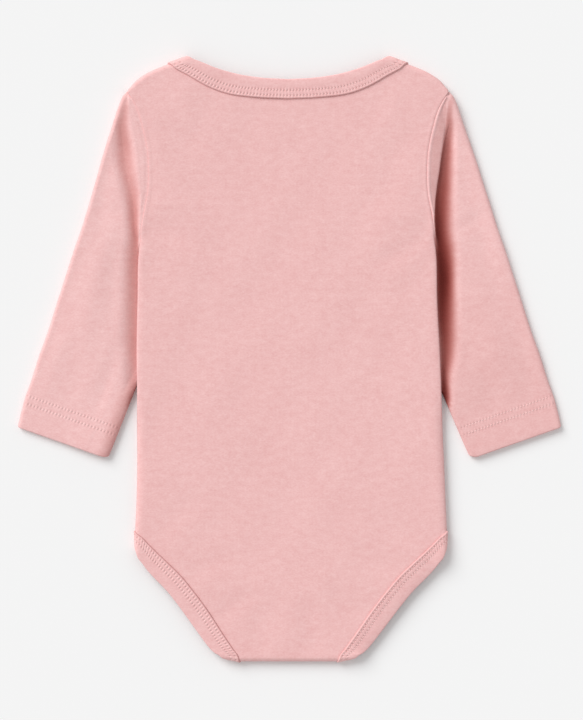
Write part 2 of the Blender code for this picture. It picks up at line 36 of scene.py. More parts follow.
# The levels of the cloth's middle, as in the solids.
WALL = 0.9
HALF = WALL / 2
BINDING_WALL = 0.5
FLOOR_LEVEL = 0.47
BACK_LEVEL = 5.8
CROTCH_LEVEL = 5.5
SHOULDER_LEVEL = 6.3
SLEEVE_UNDER = 2.1
SLEEVE_OPEN = 4.4
CUFF_LEVEL = {1: (3.3, 3.3), -1: (3.3, 4.8)}  # at its outer and inner corners
CUFF_WIDTH = 61.0
OVER_SLEEVE = 3.0
OVER_LAP = 2.6
EDGE_ROUND = 6.0
UNDERARM = 80.1
HIP = -111.0
LEG_TOP = -115.0         # where the leg bindings turn over at the hips
BACK_YOKE = 142.5        # above it a panel's rows bend toward the neck and shoulders
FRONT_YOKE = 88.0
CROTCH_FOLD = -196.5
CROTCH_RADIUS = (CROTCH_LEVEL - FLOOR_LEVEL) / 2
CROTCH_AXIS = CROTCH_FOLD + CROTCH_RADIUS + HALF
SHOULDER_RADIUS = (SHOULDER_LEVEL - FLOOR_LEVEL) / 2
TAB_LEVEL = 3.4
BACK_TAB_END = -168.0
FRONT_TAB_END = -186.5
BINDING_LIFT = 1.0       # how far a binding lifts the cloth it edges off the surface
TUCKED_IN = 2.6          # how far a panel's edge reaches into its binding
LEG_TUCKED_IN = TUCKED_IN * 1.2
INNER_LEAF = 0.72        # from a binding's middle to the middle of its hidden leaf
UNDER_LEAF = 0.95        # and to that of its shown leaf where it lies underneath
LEG_LEAN = {1: 1.5, -1: 0.3}  # how far a leg binding's free edge lies below its seam
HEM_TURN = 0.46          # the radius that a cuff's hem turns in at
HEM_ROWS = (15.5, 20.5)  # the stitched rows' distances from a cuff's edge
NECK_ROWS = (1.8, 5.3)   # and from a binding's seam
LEG_ROWS = (1.8, 5.1)
PLAIN_GROOVE = 0.1       # how deep a stitched row usually lies
STITCH = 2.2
WALE = 0.0009            # the knit's pitch across and along, in metres
COURSE = 0.0007
THREAD = 0.22
PINK = (0.876, 0.520, 0.510)
SLEEVE_PINK = (0.893, 0.542, 0.532)
# The colour that the shade painted into needle holes and seams leans toward.
STITCH_SHADE_COLOUR = (0.42, 0.13, 0.12, 1)
# Where the dye is at its darkest and lightest, and what it then leaves of each channel.
DYE_RANGE = ((0.36, (0.93, 0.87, 0.87)), (0.64, (1.045, 1.11, 1.11)))
SNAP_PITCH = 19.0
SNAP_Y = -177.5


def cubic(t, step, values, slopes, i):
    """A cubic between points i and i + 1, with their slopes; t is the share of the way."""
    return ((2 * t ** 3 - 3 * t ** 2 + 1) * values[i]
            + (t ** 3 - 2 * t ** 2 + t) * step * slopes[i]
            + (3 * t ** 2 - 2 * t ** 3) * values[i + 1]
            + (t ** 3 - t ** 2) * step * slopes[i + 1])


class Table:
    """Rows of sizes with named columns, read smoothly along the first column."""

    def __init__(self, columns, rows):
        self.columns = columns.split()
        self.rows = np.array(sorted(rows), dtype=float)
        self.key = self.rows[:, 0]
        self.slopes = {name: np.gradient(self.rows[:, k], self.key)
                       for k, name in enumerate(self.columns) if k}

    def at(self, name, where):
        """The named column at places along the first one."""
        key = self.key
        where = np.clip(np.asarray(where, dtype=float), key[0], key[-1])
        i = np.clip(np.searchsorted(key, where) - 1, 0, len(key) - 2)
        step = key[i + 1] - key[i]
        return cubic((where - key[i]) / step, step, self.rows[:, self.columns.index(name)],
                     self.slopes[name], i)

    def place(self, where, lead=""):
        """The x and y columns whose names have this lead, side by side."""
        return np.stack([self.at(lead + "x", where), self.at(lead + "y", where)], axis=-1)


SIDE = Table("y half", [
    (-111, 101.4), (-91.5, 100.5), (-59, 99.6), (-26.5, 99.1), (6, 98.6), (38.5, 97.5), (71, 96.5),
    (80.1, 95.3), (89.2, 94.3), (97.7, 92.8), (105.5, 91.3), (113.3, 90.5), (123, 90.4),
    (132.8, 90.8), (142.5, 92.3), (151, 94.3), (160.1, 96.9), (167.2, 100.1), (173.1, 104)])

BACK_LEG = Table("y half free_x free_y", [
    (-194.2, 32.4, 45.0, -192.4), (-190.5, 34.9, 46.9, -191.6), (-186.5, 37.7, 48.9, -190.2),
    (-182.0, 40.8, 51.5, -187.8), (-177.3, 44, 54.2, -184.5),
    (-163, 53.6, 63.4, -172.2), (-150, 63.4, 72.9, -159.4), (-139.6, 72.2, 81.1, -149.4),
    (-128.5, 83.9, 91.2, -139.2), (-119.4, 93.3, 96.7, -132.0), (-115, 97.7, 99.6, -127.9)])

BACK_TAB = Table("y half", [
    (-194.2, 30.6), (-190.5, 28.4), (-187, 27), (-180, 25.6), (-168, 25)])

FRONT_LEG = Table("y half free_x free_y", [
    (-186.5, 25.0, 37.0, -186.5), (-178, 27.3, 38.8, -181.5), (-168, 33.2, 43.6, -174.0),
    (-158, 41, 50.2, -165.8), (-148, 50.6, 59.4, -156.2), (-138, 62.5, 70.2, -147.2),
    (-128, 76.2, 82.4, -138.3), (-120, 88, 92.2, -132.2), (-115, 95.2, 98.0, -127.6)])

NECK_CORNER = 0.7375
FOLD_FROM = 0.693        # where the panel starts to turn over the shoulder, inside the binding
BACK_NECK = Table("part y free_x free_y", [
    (0, 169.2, 0, 181.9), (0.2, 170.1, 17.7, 182.9), (0.388, 172.8, 34.3, 185.6),
    (0.519, 178.1, 46.5, 189.1), (0.6375, 185.2, 57.2, 193.4), (0.7375, 190.4, 64.8, 196.4)])

FRONT_NECK = Table("part y free_x free_y", [
    (0, 114.3, 0, 127), (0.199, 116.4, 15, 128.7), (0.387, 122.8, 29, 134),
    (0.55, 133.5, 41, 142.5), (0.665, 147, 50.5, 154), (0.737, 157.5, 61, 165),
    (0.806, 163.5, 72, 173), (0.88, 165.5, 84, 177), (0.941, 163.8, 92.5, 175.3),
    (1, 160.5, 99.6, 170.6)])

# Round the shoulder fold, the neck binding's seam lies aslant; its free edge rounds a corner.
NECK_TURN = [(0, -1.6, 61.2, 194.8), (30, -0.7, 62.9, 195.6), (60, 0.3, 64.4, 196.0),
             (90, 1.3, 65.4, 195.6), (120, 1.6, 65.9, 194.9), (150, 1.8, 66.0, 194.0),
             (180, 1.8, 65.8, 192.9)]
SHOULDER = Table("part x y", [
    (FOLD_FROM, 72.1, 194.0),
    (0.7375, 76.7, 192.3), (0.80, 83.6, 189.7), (0.87, 91.0, 186.4), (0.94, 98.8, 181.2),
    (1, 104.7, 175.0)])

LAP = Table("part x y free_x free_y", [
    (FOLD_FROM, 72.4, 188.3, 65.0, 192.0),
    (0.7375, 76.2, 186.6, 65.2, 191.5), (0.80, 80.3, 179.6, 69.4, 183.6),
    (0.87, 85.2, 171.2, 75.0, 173.2), (0.94, 90.2, 163.4, 82.2, 159.8),
    (1, 95.6, 157.0, 91.6, 143.5)])

TUCK = Table("y inner", [
    (-63.5, 119.3), (-39.5, 109.4), (-15.4, 99.5), (2.5, 91.5), (24, 82), (44.5, 73.5),
    (64, 67.5), (80, 66.3), (94, 70.5), (107, 81), (120.5, 89), (131, 89.5), (141, 87),
    (153, 79), (169, 71), (183, 65), (197, 59)])

SLEEVE = Table("part outer_x outer_y inner_x inner_y", [
    (0, 105.5, 174.0, 103.2, 172.0), (0.02, 107.3, 171.4, 101.8, 169.6),
    (0.04, 108.9, 168.3, 100.2, 167.0), (0.08, 111.2, 162, 97.9, 161.6), (0.13, 114.5, 152, 95.4, 151.5),
    (0.19, 117.7, 142.5, 93.2, 142), (0.26, 121.9, 129.5, 91.7, 131),
    (0.33, 126.5, 114, 89.5, 120), (0.40, 131.1, 99, 81, 107), (0.47, 135.6, 84.5, 70.5, 94),
    (0.53, 140, 72, 66.3, 80), (0.60, 145, 56.5, 67.5, 64), (0.68, 150.8, 38.5, 73.5, 44.5),
    (0.76, 157, 19, 82, 24), (0.84, 163.6, 0.5, 91.5, 2.5), (0.90, 168, -13.5, 99.5, -15.4),
    (0.95, 172.6, -26.5, 109.4, -39.5), (1, 176.8, -43.4, 119.3, -63.5)])

SLEEVE_HEAD = (104.0, 173.9)  # the shoulder point, where a sleeve ends under the body

# The strip of a sleeve that stays at the body's height, and how far it takes to fall.
STRIP = {
    1: Table("y width fall", [
        (74, 0.1, 0.0), (84, 0.15, 0.0), (90, 0.35, -0.1), (96, 1.4, -0.3), (102, 3.0, -0.5),
        (107, 4.3, -0.6), (112.2, 5.4, -0.7), (122.3, 7.1, -0.6), (132.4, 8.0, -0.2), (142.6, 8.0, 1.0),
        (151.2, 7.2, 2.6), (161.4, 5.0, 3.6), (168, 3.0, 3.0), (174, 1.8, 2.0)]),
    -1: Table("y width fall", [
        (74, 0.25, 1.6), (80, 0.5, 2.6), (95, 1.6, 4.8), (110, 4.4, 6.4), (120, 6.0, 8.2),
        (129.5, 6.5, 8.8), (149, 6.5, 7.9), (162, 4.9, 4.1), (168, 2.6, 2.4), (174, 1.6, 1.6)])}

# The hollow of a sleeve beside the body, by distances from the body's edge: where it starts,
# where its floor starts and ends, where it is open again, and how deep the shade painted into
# its depths is. The sleeve's level reads the end and the open; the painted shade reads them all.
HOLLOW = {
    1: Table("y start floor end open depth", [
        (-36, -1.0, 1.4, 1.6, 5.4, 0.6), (-27, -1.0, 1.4, 1.8, 7.2, 0.95),
        (-12, -1.0, 1.8, 1.8, 8.0, 0.62), (4, -1.0, 3.0, 3.2, 12.6, 0.6),
        (28, -1.5, 3.0, 3.3, 14.6, 0.88), (52, -2.0, 3.6, 4.6, 14.4, 1.15),
        (72, -1.5, 2.8, 3.4, 15.4, 1.0), (88, -0.3, 3.0, 4.2, 15.6, 0.82),
        (102, 2.4, 5.4, 8.0, 17.9, 0.7), (112.2, 4.8, 8.2, 10.6, 19.1, 0.64),
        (122.3, 6.1, 9.5, 11.8, 19.3, 0.54), (132.4, 7.0, 10.5, 12.5, 18.8, 0.47),
        (142.6, 7.4, 10.3, 12.1, 17.0, 0.36), (151.2, 7.0, 9.4, 10.8, 15.0, 0.28),
        (161.4, 5.1, 7.0, 7.8, 10.8, 0.14), (168, 3.4, 5.0, 6.0, 8.4, 0.06),
        (174, 2.2, 3.5, 4.0, 6.0, 0.0)]),
    -1: Table("y start floor end open depth", [
        (-38, 0.4, 2.6, 3.6, 6.0, 0.1), (-29, 0.4, 2.8, 4.2, 7.6, 0.27),
        (-20, 0.2, 1.4, 2.8, 8.0, 0.16), (-10, 0.0, 0.2, 1.2, 9.0, 0.13),
        (10, 0.0, 0.1, 1.6, 10.5, 0.17), (28, 0.0, 0.1, 2.0, 11.0, 0.17),
        (52, 0.0, 0.1, 2.4, 11.5, 0.19), (72, 0.0, 0.6, 2.8, 10.5, 0.22),
        (80, 0.2, 2.4, 3.6, 10.0, 0.24), (95, 1.6, 5.6, 7.0, 13.0, 0.22),
        (110, 4.0, 9.8, 11.6, 18.0, 0.15), (128, 7.0, 14.4, 16.4, 23.0, 0.15),
        (143, 7.5, 13.6, 15.4, 21.5, 0.19), (150, 7.5, 13.2, 14.8, 20.0, 0.18),
        (162, 4.5, 8.2, 9.4, 13.5, 0.12), (170, 2.0, 3.6, 4.4, 7.0, 0.05),
        (174, 1.0, 2.5, 3.0, 4.5, 0.0)])}
MET_AT_LEAST = {1: 7.0, -1: 12.0}  # how far a sleeve goes under the body near its cuff
STRIP_STEPS = 13         # points across a strip
STRIP_START = {1: -0.25, -1: -1.0}
STRIP_LEAD = {1: ((-1.3, -1.6), (-0.35, -1.2)), -1: ((-0.8, -0.6), (-0.4, -0.25))}
INNER_SLIP = {1: 2.6, -1: 1.1}  # how much wider a sleeve lies near its cuff
HOLLOW_FLOOR = {1: 1.5, -1: 2.0}

LIES = Table("y shift", [
    (-197, -0.5), (-165, 0.2), (-140, 0.6), (-105, 1.0), (-70, 0.8), (-45, 0.2), (-20, -0.2),
    (4, -0.8), (28, -1.3), (50, -1.4), (80, -1.3), (110, -1.1), (140, -1.0), (200, -1.0)])

# Creases and soft ridges, listed one by one. Depth is up when positive.
BACK_CREASES = [
    # x0, y0, x1, y1, width, depth
    (92, 84, 58, 62, 6.5, -0.42), (96, 70, 70, 40, 7.5, -0.30), (88, 96, 62, 92, 5.5, 0.22),
    (-92, 86, -52, 70, 7.0, -0.40), (-95, 66, -72, 30, 8.5, -0.28), (-88, 100, -58, 98, 6.0, 0.2),
    (84, 150, 60, 128, 8.0, -0.25), (-83, 152, -56, 134, 7.0, -0.28), (72, 176, 60, 150, 6.0, 0.2),
    (-70, 177, -62, 148, 7.0, 0.2), (30, 166, 24, 120, 10.0, -0.2), (-22, 165, -34, 110, 12.0, -0.22),
    (10, 90, -30, 20, 16.0, -0.25), (40, 20, 64, -60, 18.0, -0.28), (-48, 0, -60, -80, 16.0, 0.25),
    (84, -118, 50, -96, 7.0, -0.35), (-86, -116, -58, -88, 8.0, -0.32),
    (66, -138, 40, -120, 6.0, -0.3), (-64, -140, -36, -128, 6.5, -0.28),
    (47, -166, 26, -146, 5.0, -0.32), (-46, -168, -22, -152, 5.5, -0.3), (18, -190, 12, -160, 6.0, -0.3),
    (-15, -191, -20, -164, 6.5, -0.26), (0, -186, 2, -150, 8.0, 0.25), (0, -40, 30, -100, 20.0, 0.25),
    (-20, -60, -4, -130, 18.0, -0.22)]

SLEEVE_CREASES = {
    1: [(118, 150, 150, 56, 7.0, 0.45), (112, 120, 128, 60, 6.0, -0.45), (121, 104, 142, 40, 5.0, 0.30),
        (108, 64, 138, -16, 8.0, 0.42), (130, 60, 158, -20, 7.0, -0.42), (104, 36, 116, -4, 6.0, -0.35),
        (146, 30, 166, -28, 5.0, 0.30), (118, 4, 136, -40, 7.0, -0.30), (100, 52, 124, 44, 5.0, -0.25),
        (128, 96, 104, 82, 4.5, -0.30)],
    -1: [(110, 140, 122, 84, 6.0, -0.50), (121, 136, 150, 50, 7.0, 0.45),
         (104, 84, 112, 20, 7.5, -0.55), (118, 78, 132, 0, 7.0, 0.40), (134, 74, 160, -16, 7.5, -0.36),
         (104, 20, 122, -46, 6.0, -0.40), (124, -4, 140, -46, 7.0, 0.28), (142, 20, 160, -34, 5.5, 0.28),
         (126, 100, 108, 94, 4.5, -0.28)]}

FRONT_CREASES = [
    (60, 96, 40, 60, 8.0, 0.3), (-62, 98, -38, 64, 8.0, 0.3), (0, 112, 4, 60, 12.0, 0.25),
    (48, -100, 30, -60, 12.0, 0.3), (-44, -104, -28, -50, 12.0, 0.25), (24, -160, 14, -120, 8.0, 0.3),
    (-22, -162, -12, -118, 8.0, 0.28)]


def ramp(start, end, value):
    """0 before start, 1 after end, smooth between."""
    t = np.clip((np.asarray(value, dtype=float) - start) / (end - start), 0, 1)
    return t * t * (3 - 2 * t)


def points_at(x, y, level):
    """Points from their places and levels, where one value can serve for all."""
    return np.stack(np.broadcast_arrays(x, y, level), axis=-1)


def bell(value, width):
    """1 at nought, falling off smoothly to either side."""
    return np.exp(-(value / width) ** 2)


def unit(vectors):
    """Vectors at length 1, along the last axis."""
    vectors = np.asarray(vectors, dtype=float)
    return vectors / np.linalg.norm(vectors, axis=-1, keepdims=True)


def crease_depth(creases, x, y):
    """The sum of soft troughs and ridges at places in plan, each faded at its two ends."""
    total = np.zeros(np.broadcast(x, y).shape)
    for x0, y0, x1, y1, width, depth in creases:
        run = np.array([x1 - x0, y1 - y0], dtype=float)
        length = np.hypot(*run)
        run /= length
        along = ((x - x0) * run[0] + (y - y0) * run[1]) / length
        across = (x - x0) * -run[1] + (y - y0) * run[0]
        bow = across - 0.06 * length * np.sin(np.pi * np.clip(along, 0, 1))
        fade = ramp(-0.25, 0.25, along) * ramp(1.25, 0.7, along)
        total += depth * fade * bell(bow, width)
    return total


def swell(x, y):
    """The slow unevenness of cloth that was smoothed by hand."""
    return (0.16 * np.sin(x / 23 + 1.3) * np.sin(y / 31 + 0.4)
            + 0.09 * np.sin(x / 11 + y / 17 + 2.1) + 0.05 * np.sin(x / 6.3 - y / 9.1 + 0.7))


def fold_level(radius, turn):
    """Middle of cloth that turns over from an upper layer, at turn 0, to the one on the surface."""
    return FLOOR_LEVEL + radius + radius * np.cos(turn)


def tab_level(y):
    """Middle of the back tab, which is raised where it lies on the front one."""
    return FLOOR_LEVEL + (TAB_LEVEL - FLOOR_LEVEL) * ramp(-194, -187.8, y)


def crotch_fold(turn):
    """Half width, y and middle of the back panel where it turns under at the crotch."""
    share = turn / np.pi
    half = BACK_LEG.at("half", CROTCH_AXIS) * (1 - share) + BACK_TAB.at("half", CROTCH_AXIS) * share
    return half, CROTCH_AXIS - CROTCH_RADIUS * np.sin(turn), fold_level(CROTCH_RADIUS, turn)


def front_level(x, y):
    """Middle of the front panel over what is tucked under it."""
    lift = OVER_SLEEVE + (OVER_LAP - OVER_SLEEVE) * ramp(118, 134, y)
    return FLOOR_LEVEL + lift * ramp(-15, -3, np.abs(x) - TUCK.at("inner", y))


def back_level(x, y):
    """Middle of the back panel before its side edges round over."""
    side = (SHOULDER_LEVEL - BACK_LEVEL) * ramp(-26, -3, np.abs(x) - TUCK.at("inner", y))
    crotch = (CROTCH_LEVEL - BACK_LEVEL) * ramp(-146, -166, y)
    return BACK_LEVEL + side + crotch


def half_width(y, leg):
    """Half width of a panel at its seams."""
    return np.where(np.asarray(y) < HIP - 0.5, leg.at("half", y), SIDE.at("half", y))


def edge_turn(y):
    """1 where the panels round over to a side seam, 0 at the armholes and legs."""
    return ramp(UNDERARM + 4, UNDERARM - 4, y) * ramp(HIP - 3, HIP, y)


def rounded(x, y, half, level, other):
    """A panel's level, turned to the side seam near its side edge."""
    sine = np.clip(1 - (half - np.abs(x)) / EDGE_ROUND, 0, 1)
    seam = (level + other) / 2 + np.sign(level - other) * (HALF + 0.1)
    return level - edge_turn(y) * (level - seam) * (1 - np.sqrt(1 - sine ** 2))


def columns_of(neck_steps, shoulder_steps, edge_steps):
    """Columns across a panel as parts of its half width, from the left edge to the right."""
    half = np.concatenate([
        np.linspace(0, FOLD_FROM, neck_steps),
        np.linspace(FOLD_FROM, 0.95, shoulder_steps)[1:],
        np.linspace(0.95, 1, edge_steps)[1:]])
    return np.concatenate([-half[:0:-1], half])


def back_point(part, y, reach=0.0):
    """Points of the back panel's upper layer; reach widens it into its leg bindings."""
    half = half_width(y, BACK_LEG) + reach
    x = part * half
    level = rounded(x, y, half, back_level(x, y), front_level(x, y))
    x = x - np.sign(part) * HALF * edge_turn(y) * ramp(0.95, 1, np.abs(part))
    to_seam = half - reach - np.abs(x)
    armhole = ramp(UNDERARM - 2, UNDERARM + 4, y)
    leg = ramp(HIP + 2, HIP - 4, y)
    right = x > 0
    lip = 0.14 * bell(to_seam - 1.4, 0.9)
    lip = lip + np.where(right, -0.35, 0.12) * bell(to_seam, 0.5)
    groove = -0.16 * bell(to_seam * 0.75 - 0.2, 0.6)
    level = level + armhole * lip + leg * groove
    return points_at(x, y, level)


def shoulder_axis(part):
    """The axis of the shoulder fold and its outward direction."""
    step = 0.01
    low = np.maximum(part - step, FOLD_FROM)
    high = np.minimum(part + step, 1)
    out = unit(np.stack([SHOULDER.at("y", low) - SHOULDER.at("y", high),
                         SHOULDER.at("x", high) - SHOULDER.at("x", low)], axis=-1))
    return SHOULDER.place(part) - out * (SHOULDER_RADIUS + HALF), out


def tab_rows(part):
    """The back panel's tab on the front one, and the crotch fold."""
    size = np.abs(part)
    rows = []
    for y in np.linspace(BACK_TAB_END, CROTCH_AXIS, 16):
        level = tab_level(y) + BINDING_LIFT * ramp(0.8, 1, size) * ramp(-188, -193, y)
        rows.append(points_at(part * (BACK_TAB.at("half", y) + TUCKED_IN), y, level))
    for turn in np.radians(np.linspace(165, 15, 9)):
        half, y, level = crotch_fold(turn)
        rows.append(points_at(part * (half + TUCKED_IN), y, level))
    return rows


def lap_rows(part, neck, axis, out):
    """The back panel's shoulder folds and laps; NaN is no cloth."""
    size = np.abs(part)
    end = LAP.place(size)
    end += 0.2 * (LAP.place(size, "free_") - end)
    bulge = np.stack([ramp(1, 0.93, size), np.ones_like(size)], axis=-1)
    steps = [(turn, 0) for turn in np.radians(np.linspace(18, 180, 10))]
    steps += [(np.pi, share) for share in np.linspace(0, 1, 7)[1:]]
    rows = []
    for turn, share in steps:
        place = axis + out * SHOULDER_RADIUS * np.sin(turn) * bulge
        place = place + (end - place) * share
        level = fold_level(SHOULDER_RADIUS, turn) + BINDING_LIFT * ramp(0.3, 1, share)
        row = points_at(np.sign(part) * place[:, 0], place[:, 1], level)
        rows.append(np.where(neck[:, None], np.nan, row))
    return rows


def back_rows():
    """The back panel: tab, crotch fold, body, shoulder folds and laps."""
    part = columns_of(42, 19, 9)
    size = np.abs(part)
    neck = size < FOLD_FROM - 0.001
    axis, out = shoulder_axis(np.maximum(size, FOLD_FROM))
    straight = size * half_width(axis[:, 1], BACK_LEG)
    shift = np.where(neck, 0, axis[:, 0] - straight) * ramp(1, 0.93, size)
    axis[:, 0] = np.where(neck, axis[:, 0], straight + shift)
    top = np.where(neck, BACK_NECK.at("y", size) + TUCKED_IN, axis[:, 1])
    rows = [back_point(part, y, LEG_TUCKED_IN) for y in np.linspace(CROTCH_AXIS, LEG_TOP, 48)]
    rows += [back_point(part, y) for y in np.linspace(HIP, BACK_YOKE, 152)[:-1]]
    for blend in 1 - (1 - np.linspace(0, 1, 44)) ** 1.5:
        points = back_point(part, BACK_YOKE + (top - BACK_YOKE) * blend)
        points[:, 0] += np.sign(part) * shift * blend
        toward = ramp(0.6, 1, blend) * ramp(0.45, 0.7, size)
        points[:, 2] += (SHOULDER_LEVEL - points[:, 2]) * toward
        to_band = BACK_NECK.at("y", size) - points[:, 1]
        points[:, 2] -= 0.16 * bell(to_band - 0.2, 0.6) * neck
        rows.append(points)
    rows = np.array(rows)
    x, y, level = np.moveaxis(rows, -1, 0)
    calm = ramp(1, 0.93, size)[None, :] * ramp(-196, -186, y)
    soft = (crease_depth(BACK_CREASES, x, y) + swell(x, y)) * calm
    level += np.where(level > TAB_LEVEL, soft, 0)
    return np.concatenate([tab_rows(part), rows, lap_rows(part, neck, axis, out)])


def front_point(part, y, reach=0.0):
    """Points of the front panel; reach widens it into its leg bindings."""
    half = half_width(y, FRONT_LEG) + reach - 0.4 * ramp(UNDERARM - 6, UNDERARM, y)
    x = part * half
    level = rounded(x, y, half, front_level(x, y), back_level(x, y))
    legs = ramp(0.9, 0.985, np.abs(part)) * ramp(HIP + 6, HIP - 2, y)
    x = x - np.sign(part) * HALF * edge_turn(y) * ramp(0.95, 1, np.abs(part))
    return points_at(x, y, level + BINDING_LIFT * legs)


def front_rows():
    """The front panel, from the end of its tab to its neckline."""
    part = columns_of(36, 14, 8)
    size = np.abs(part)
    rows = [front_point(part, y, LEG_TUCKED_IN) for y in np.linspace(FRONT_TAB_END, LEG_TOP, 40)]
    rows += [front_point(part, y) for y in np.linspace(HIP, FRONT_YOKE, 100)[:-1]]
    top = FRONT_NECK.at("y", size) + TUCKED_IN
    for blend in np.linspace(0, 1, 36):
        points = front_point(part, FRONT_YOKE + (top - FRONT_YOKE) * blend)
        points[:, 2] += BINDING_LIFT * ramp(0.84, 0.98, blend)
        rows.append(points)
    rows = np.array(rows)
    x, y = rows[..., 0], rows[..., 1]
    free = ramp(1, 0.9, size)[None, :] * ramp(-180, -165, y) * ramp(110, 95, y)
    rows[..., 2] += np.maximum(crease_depth(FRONT_CREASES, x, y), 0) * free
    for number in (-1, 0, 1):
        far = np.hypot(x - number * SNAP_PITCH, y - SNAP_Y)
        rows[..., 2] += 0.62 * ramp(7.4, 5.2, far)
    return rows


def sleeve_level(x, y, side):
    """Middle of a sleeve's upper layer, lowest in the hollow beside the body."""
    beyond = np.abs(x) - SIDE.at("half", y)
    hollow = HOLLOW[side]
    low = HOLLOW_FLOOR[side] + (SLEEVE_UNDER - HOLLOW_FLOOR[side]) * ramp(0, -4, beyond)
    rise = ramp(hollow.at("end", y) - 0.5, hollow.at("open", y) + 1.5, beyond)
    far = cuff_distance(np.abs(x), y)
    share = ((np.stack([np.abs(x), y], axis=-1) - outer_end()) @ cuff_direction()) / CUFF_WIDTH
    outer, inner = CUFF_LEVEL[side]
    cuff = outer + (inner - outer) * ramp(0.4, 1, share)
    crown = cuff + (SLEEVE_OPEN - cuff) * ramp(16, 62, far)
    level = low + (crown - low) * rise
    return level + (SHOULDER_LEVEL - 0.5 - level) * ramp(136, 166, y)


def painted_hollow_shade(x, y, side):
    """The shade painted on a place of a sleeve where it is shut in beside the body, up to the hollow's
    depth.
    """
    beyond = np.abs(x) - SIDE.at("half", y)
    hollow = HOLLOW[side]
    start, floor, end, opened, depth = (hollow.at(name, y) for name in
                                        ("start", "floor", "end", "open", "depth"))
    shut = ramp(0, np.maximum(floor - start, 0.05), beyond - start)
    shut = shut * (1 - ramp(0, opened - end, beyond - end)) ** 1.2
    return depth * shut * ramp(-44, -34, y)


def outer_end():
    """The cuff's outer corner."""
    return SLEEVE.place(1, "outer_")


def cuff_direction():
    """The direction of the cuff's edge, from its outer corner to its inner one."""
    return unit(SLEEVE.place(1, "inner_") - outer_end())


def cuff_outward():
    """The direction out of the cuff, in line with the sleeve."""
    run = cuff_direction()
    return np.array([-run[1], run[0]])


def cuff_distance(x, y):
    """How far a place is from the line of the cuff's edge."""
    outer, run = outer_end(), cuff_direction()
    return np.abs((x - outer[0]) * -run[1] + (y - outer[1]) * run[0])


def sleeve_relief(x, y, side):
    """Creases of a sleeve's upper layer, with the hem's thickness and its stitched grooves."""
    far = cuff_distance(x, y)
    hem = 0.16 * ramp(22.0, 19.5, far)
    grooves = -0.12 * sum(bell(far - row, 0.8) for row in HEM_ROWS)
    pucker = 0.08 * np.sin((x + y * 0.35) / 1.15) * bell(far - 18, 4.5)
    soft = crease_depth(SLEEVE_CREASES[side], x, y) + 0.8 * swell(x * 1.3 * side, y)
    return hem + grooves + pucker + soft * ramp(14, 34, far)


def seam_crossing(outer, inner):
    """How far from the inner fold a line across the sleeve meets the body's edge."""
    shares = np.linspace(0, 1, 400)
    places = inner + (outer - inner) * shares[:, None]
    edge = SIDE.at("half", places[:, 1]) + 0.6 * np.maximum(places[:, 1] - 173.1, 0)
    beyond = places[:, 0] - edge > 0.25
    length = np.linalg.norm(outer - inner)
    return shares[np.argmax(beyond)] * length


def sleeve_rows(side):
    """A sleeve: from the armhole seam over its strip, round its folds and back under the body."""
    rows = []
    for part in np.concatenate([np.linspace(0.022, 0.1, 11)[:-1], np.linspace(0.1, 1, 136)]):
        outer = SLEEVE.place(part, "outer_")
        inner = SLEEVE.place(part, "inner_")
        inner += cuff_direction() * INNER_SLIP[side] * ramp(0.78, 0.9, part)
        inner[0] -= 1.7 * ramp(0.08, 0.14, part) * ramp(0.42, 0.34, part)
        if part < 0.12:
            inner[0] = min(inner[0], SIDE.at("half", inner[1]))
        rows.append(sleeve_ring(part, side, outer, inner))
    return np.array(pointed_head(rows[0], side) + rows + turned_hem(rows[-1], side))


def pointed_head(ring, side):
    """Rows that close a sleeve in a point at its head."""
    middle = (ring[:, 2].max() + ring[:, 2].min()) / 2
    tip = np.array([SLEEVE_HEAD[0] * side, SLEEVE_HEAD[1], middle])
    rows = []
    for share in (0, 0.12, 0.28, 0.46, 0.65, 0.83):
        row = ring.copy()
        row[:, :3] = tip + (ring[:, :3] - tip) * (share, share, share ** 0.7)
        rows.append(row)
    return rows


def turned_hem(ring, side):
    """Rows that turn a cuff's edge in and back up inside the sleeve."""
    across = cuff_direction() * np.array([side, 1])
    down = cuff_outward() * np.array([side, 1])
    flat = np.column_stack([ring[:, :2] @ across, ring[:, 2]])
    apart = np.linalg.norm(flat - np.roll(flat, 1, axis=0), axis=1) > 0.03
    path = flat[apart]
    run = np.roll(path, -1, axis=0) - np.roll(path, 1, axis=0)
    inward = unit(np.column_stack([run[:, 1], -run[:, 0]]))[np.cumsum(apart) - 1]
    if inward[len(ring) // 3, 1] > 0:
        inward = -inward
    rows = []

    def add(along, depth):
        row = ring.copy()
        row[:, :2] += down * along + across * inward[:, :1] * depth
        row[:, 2] += inward[:, 1] * depth
        row[:, 5] = -5
        rows.append(row)

    for turn in np.radians((20, 40, 65, 90, 120, 150, 180)):
        add(HEM_TURN * np.sin(turn), HEM_TURN * (1 - np.cos(turn)))
    for back in (3, 8, 13, 18):
        add(-back, 2 * HEM_TURN)
    return rows


def under_level(x, y):
    """Middle of a sleeve's lower layer, drawn up along the hem's stitched rows."""
    far = cuff_distance(x, y)
    return FLOOR_LEVEL + 0.37 * sum(bell(far - row, 0.9) for row in HEM_ROWS)


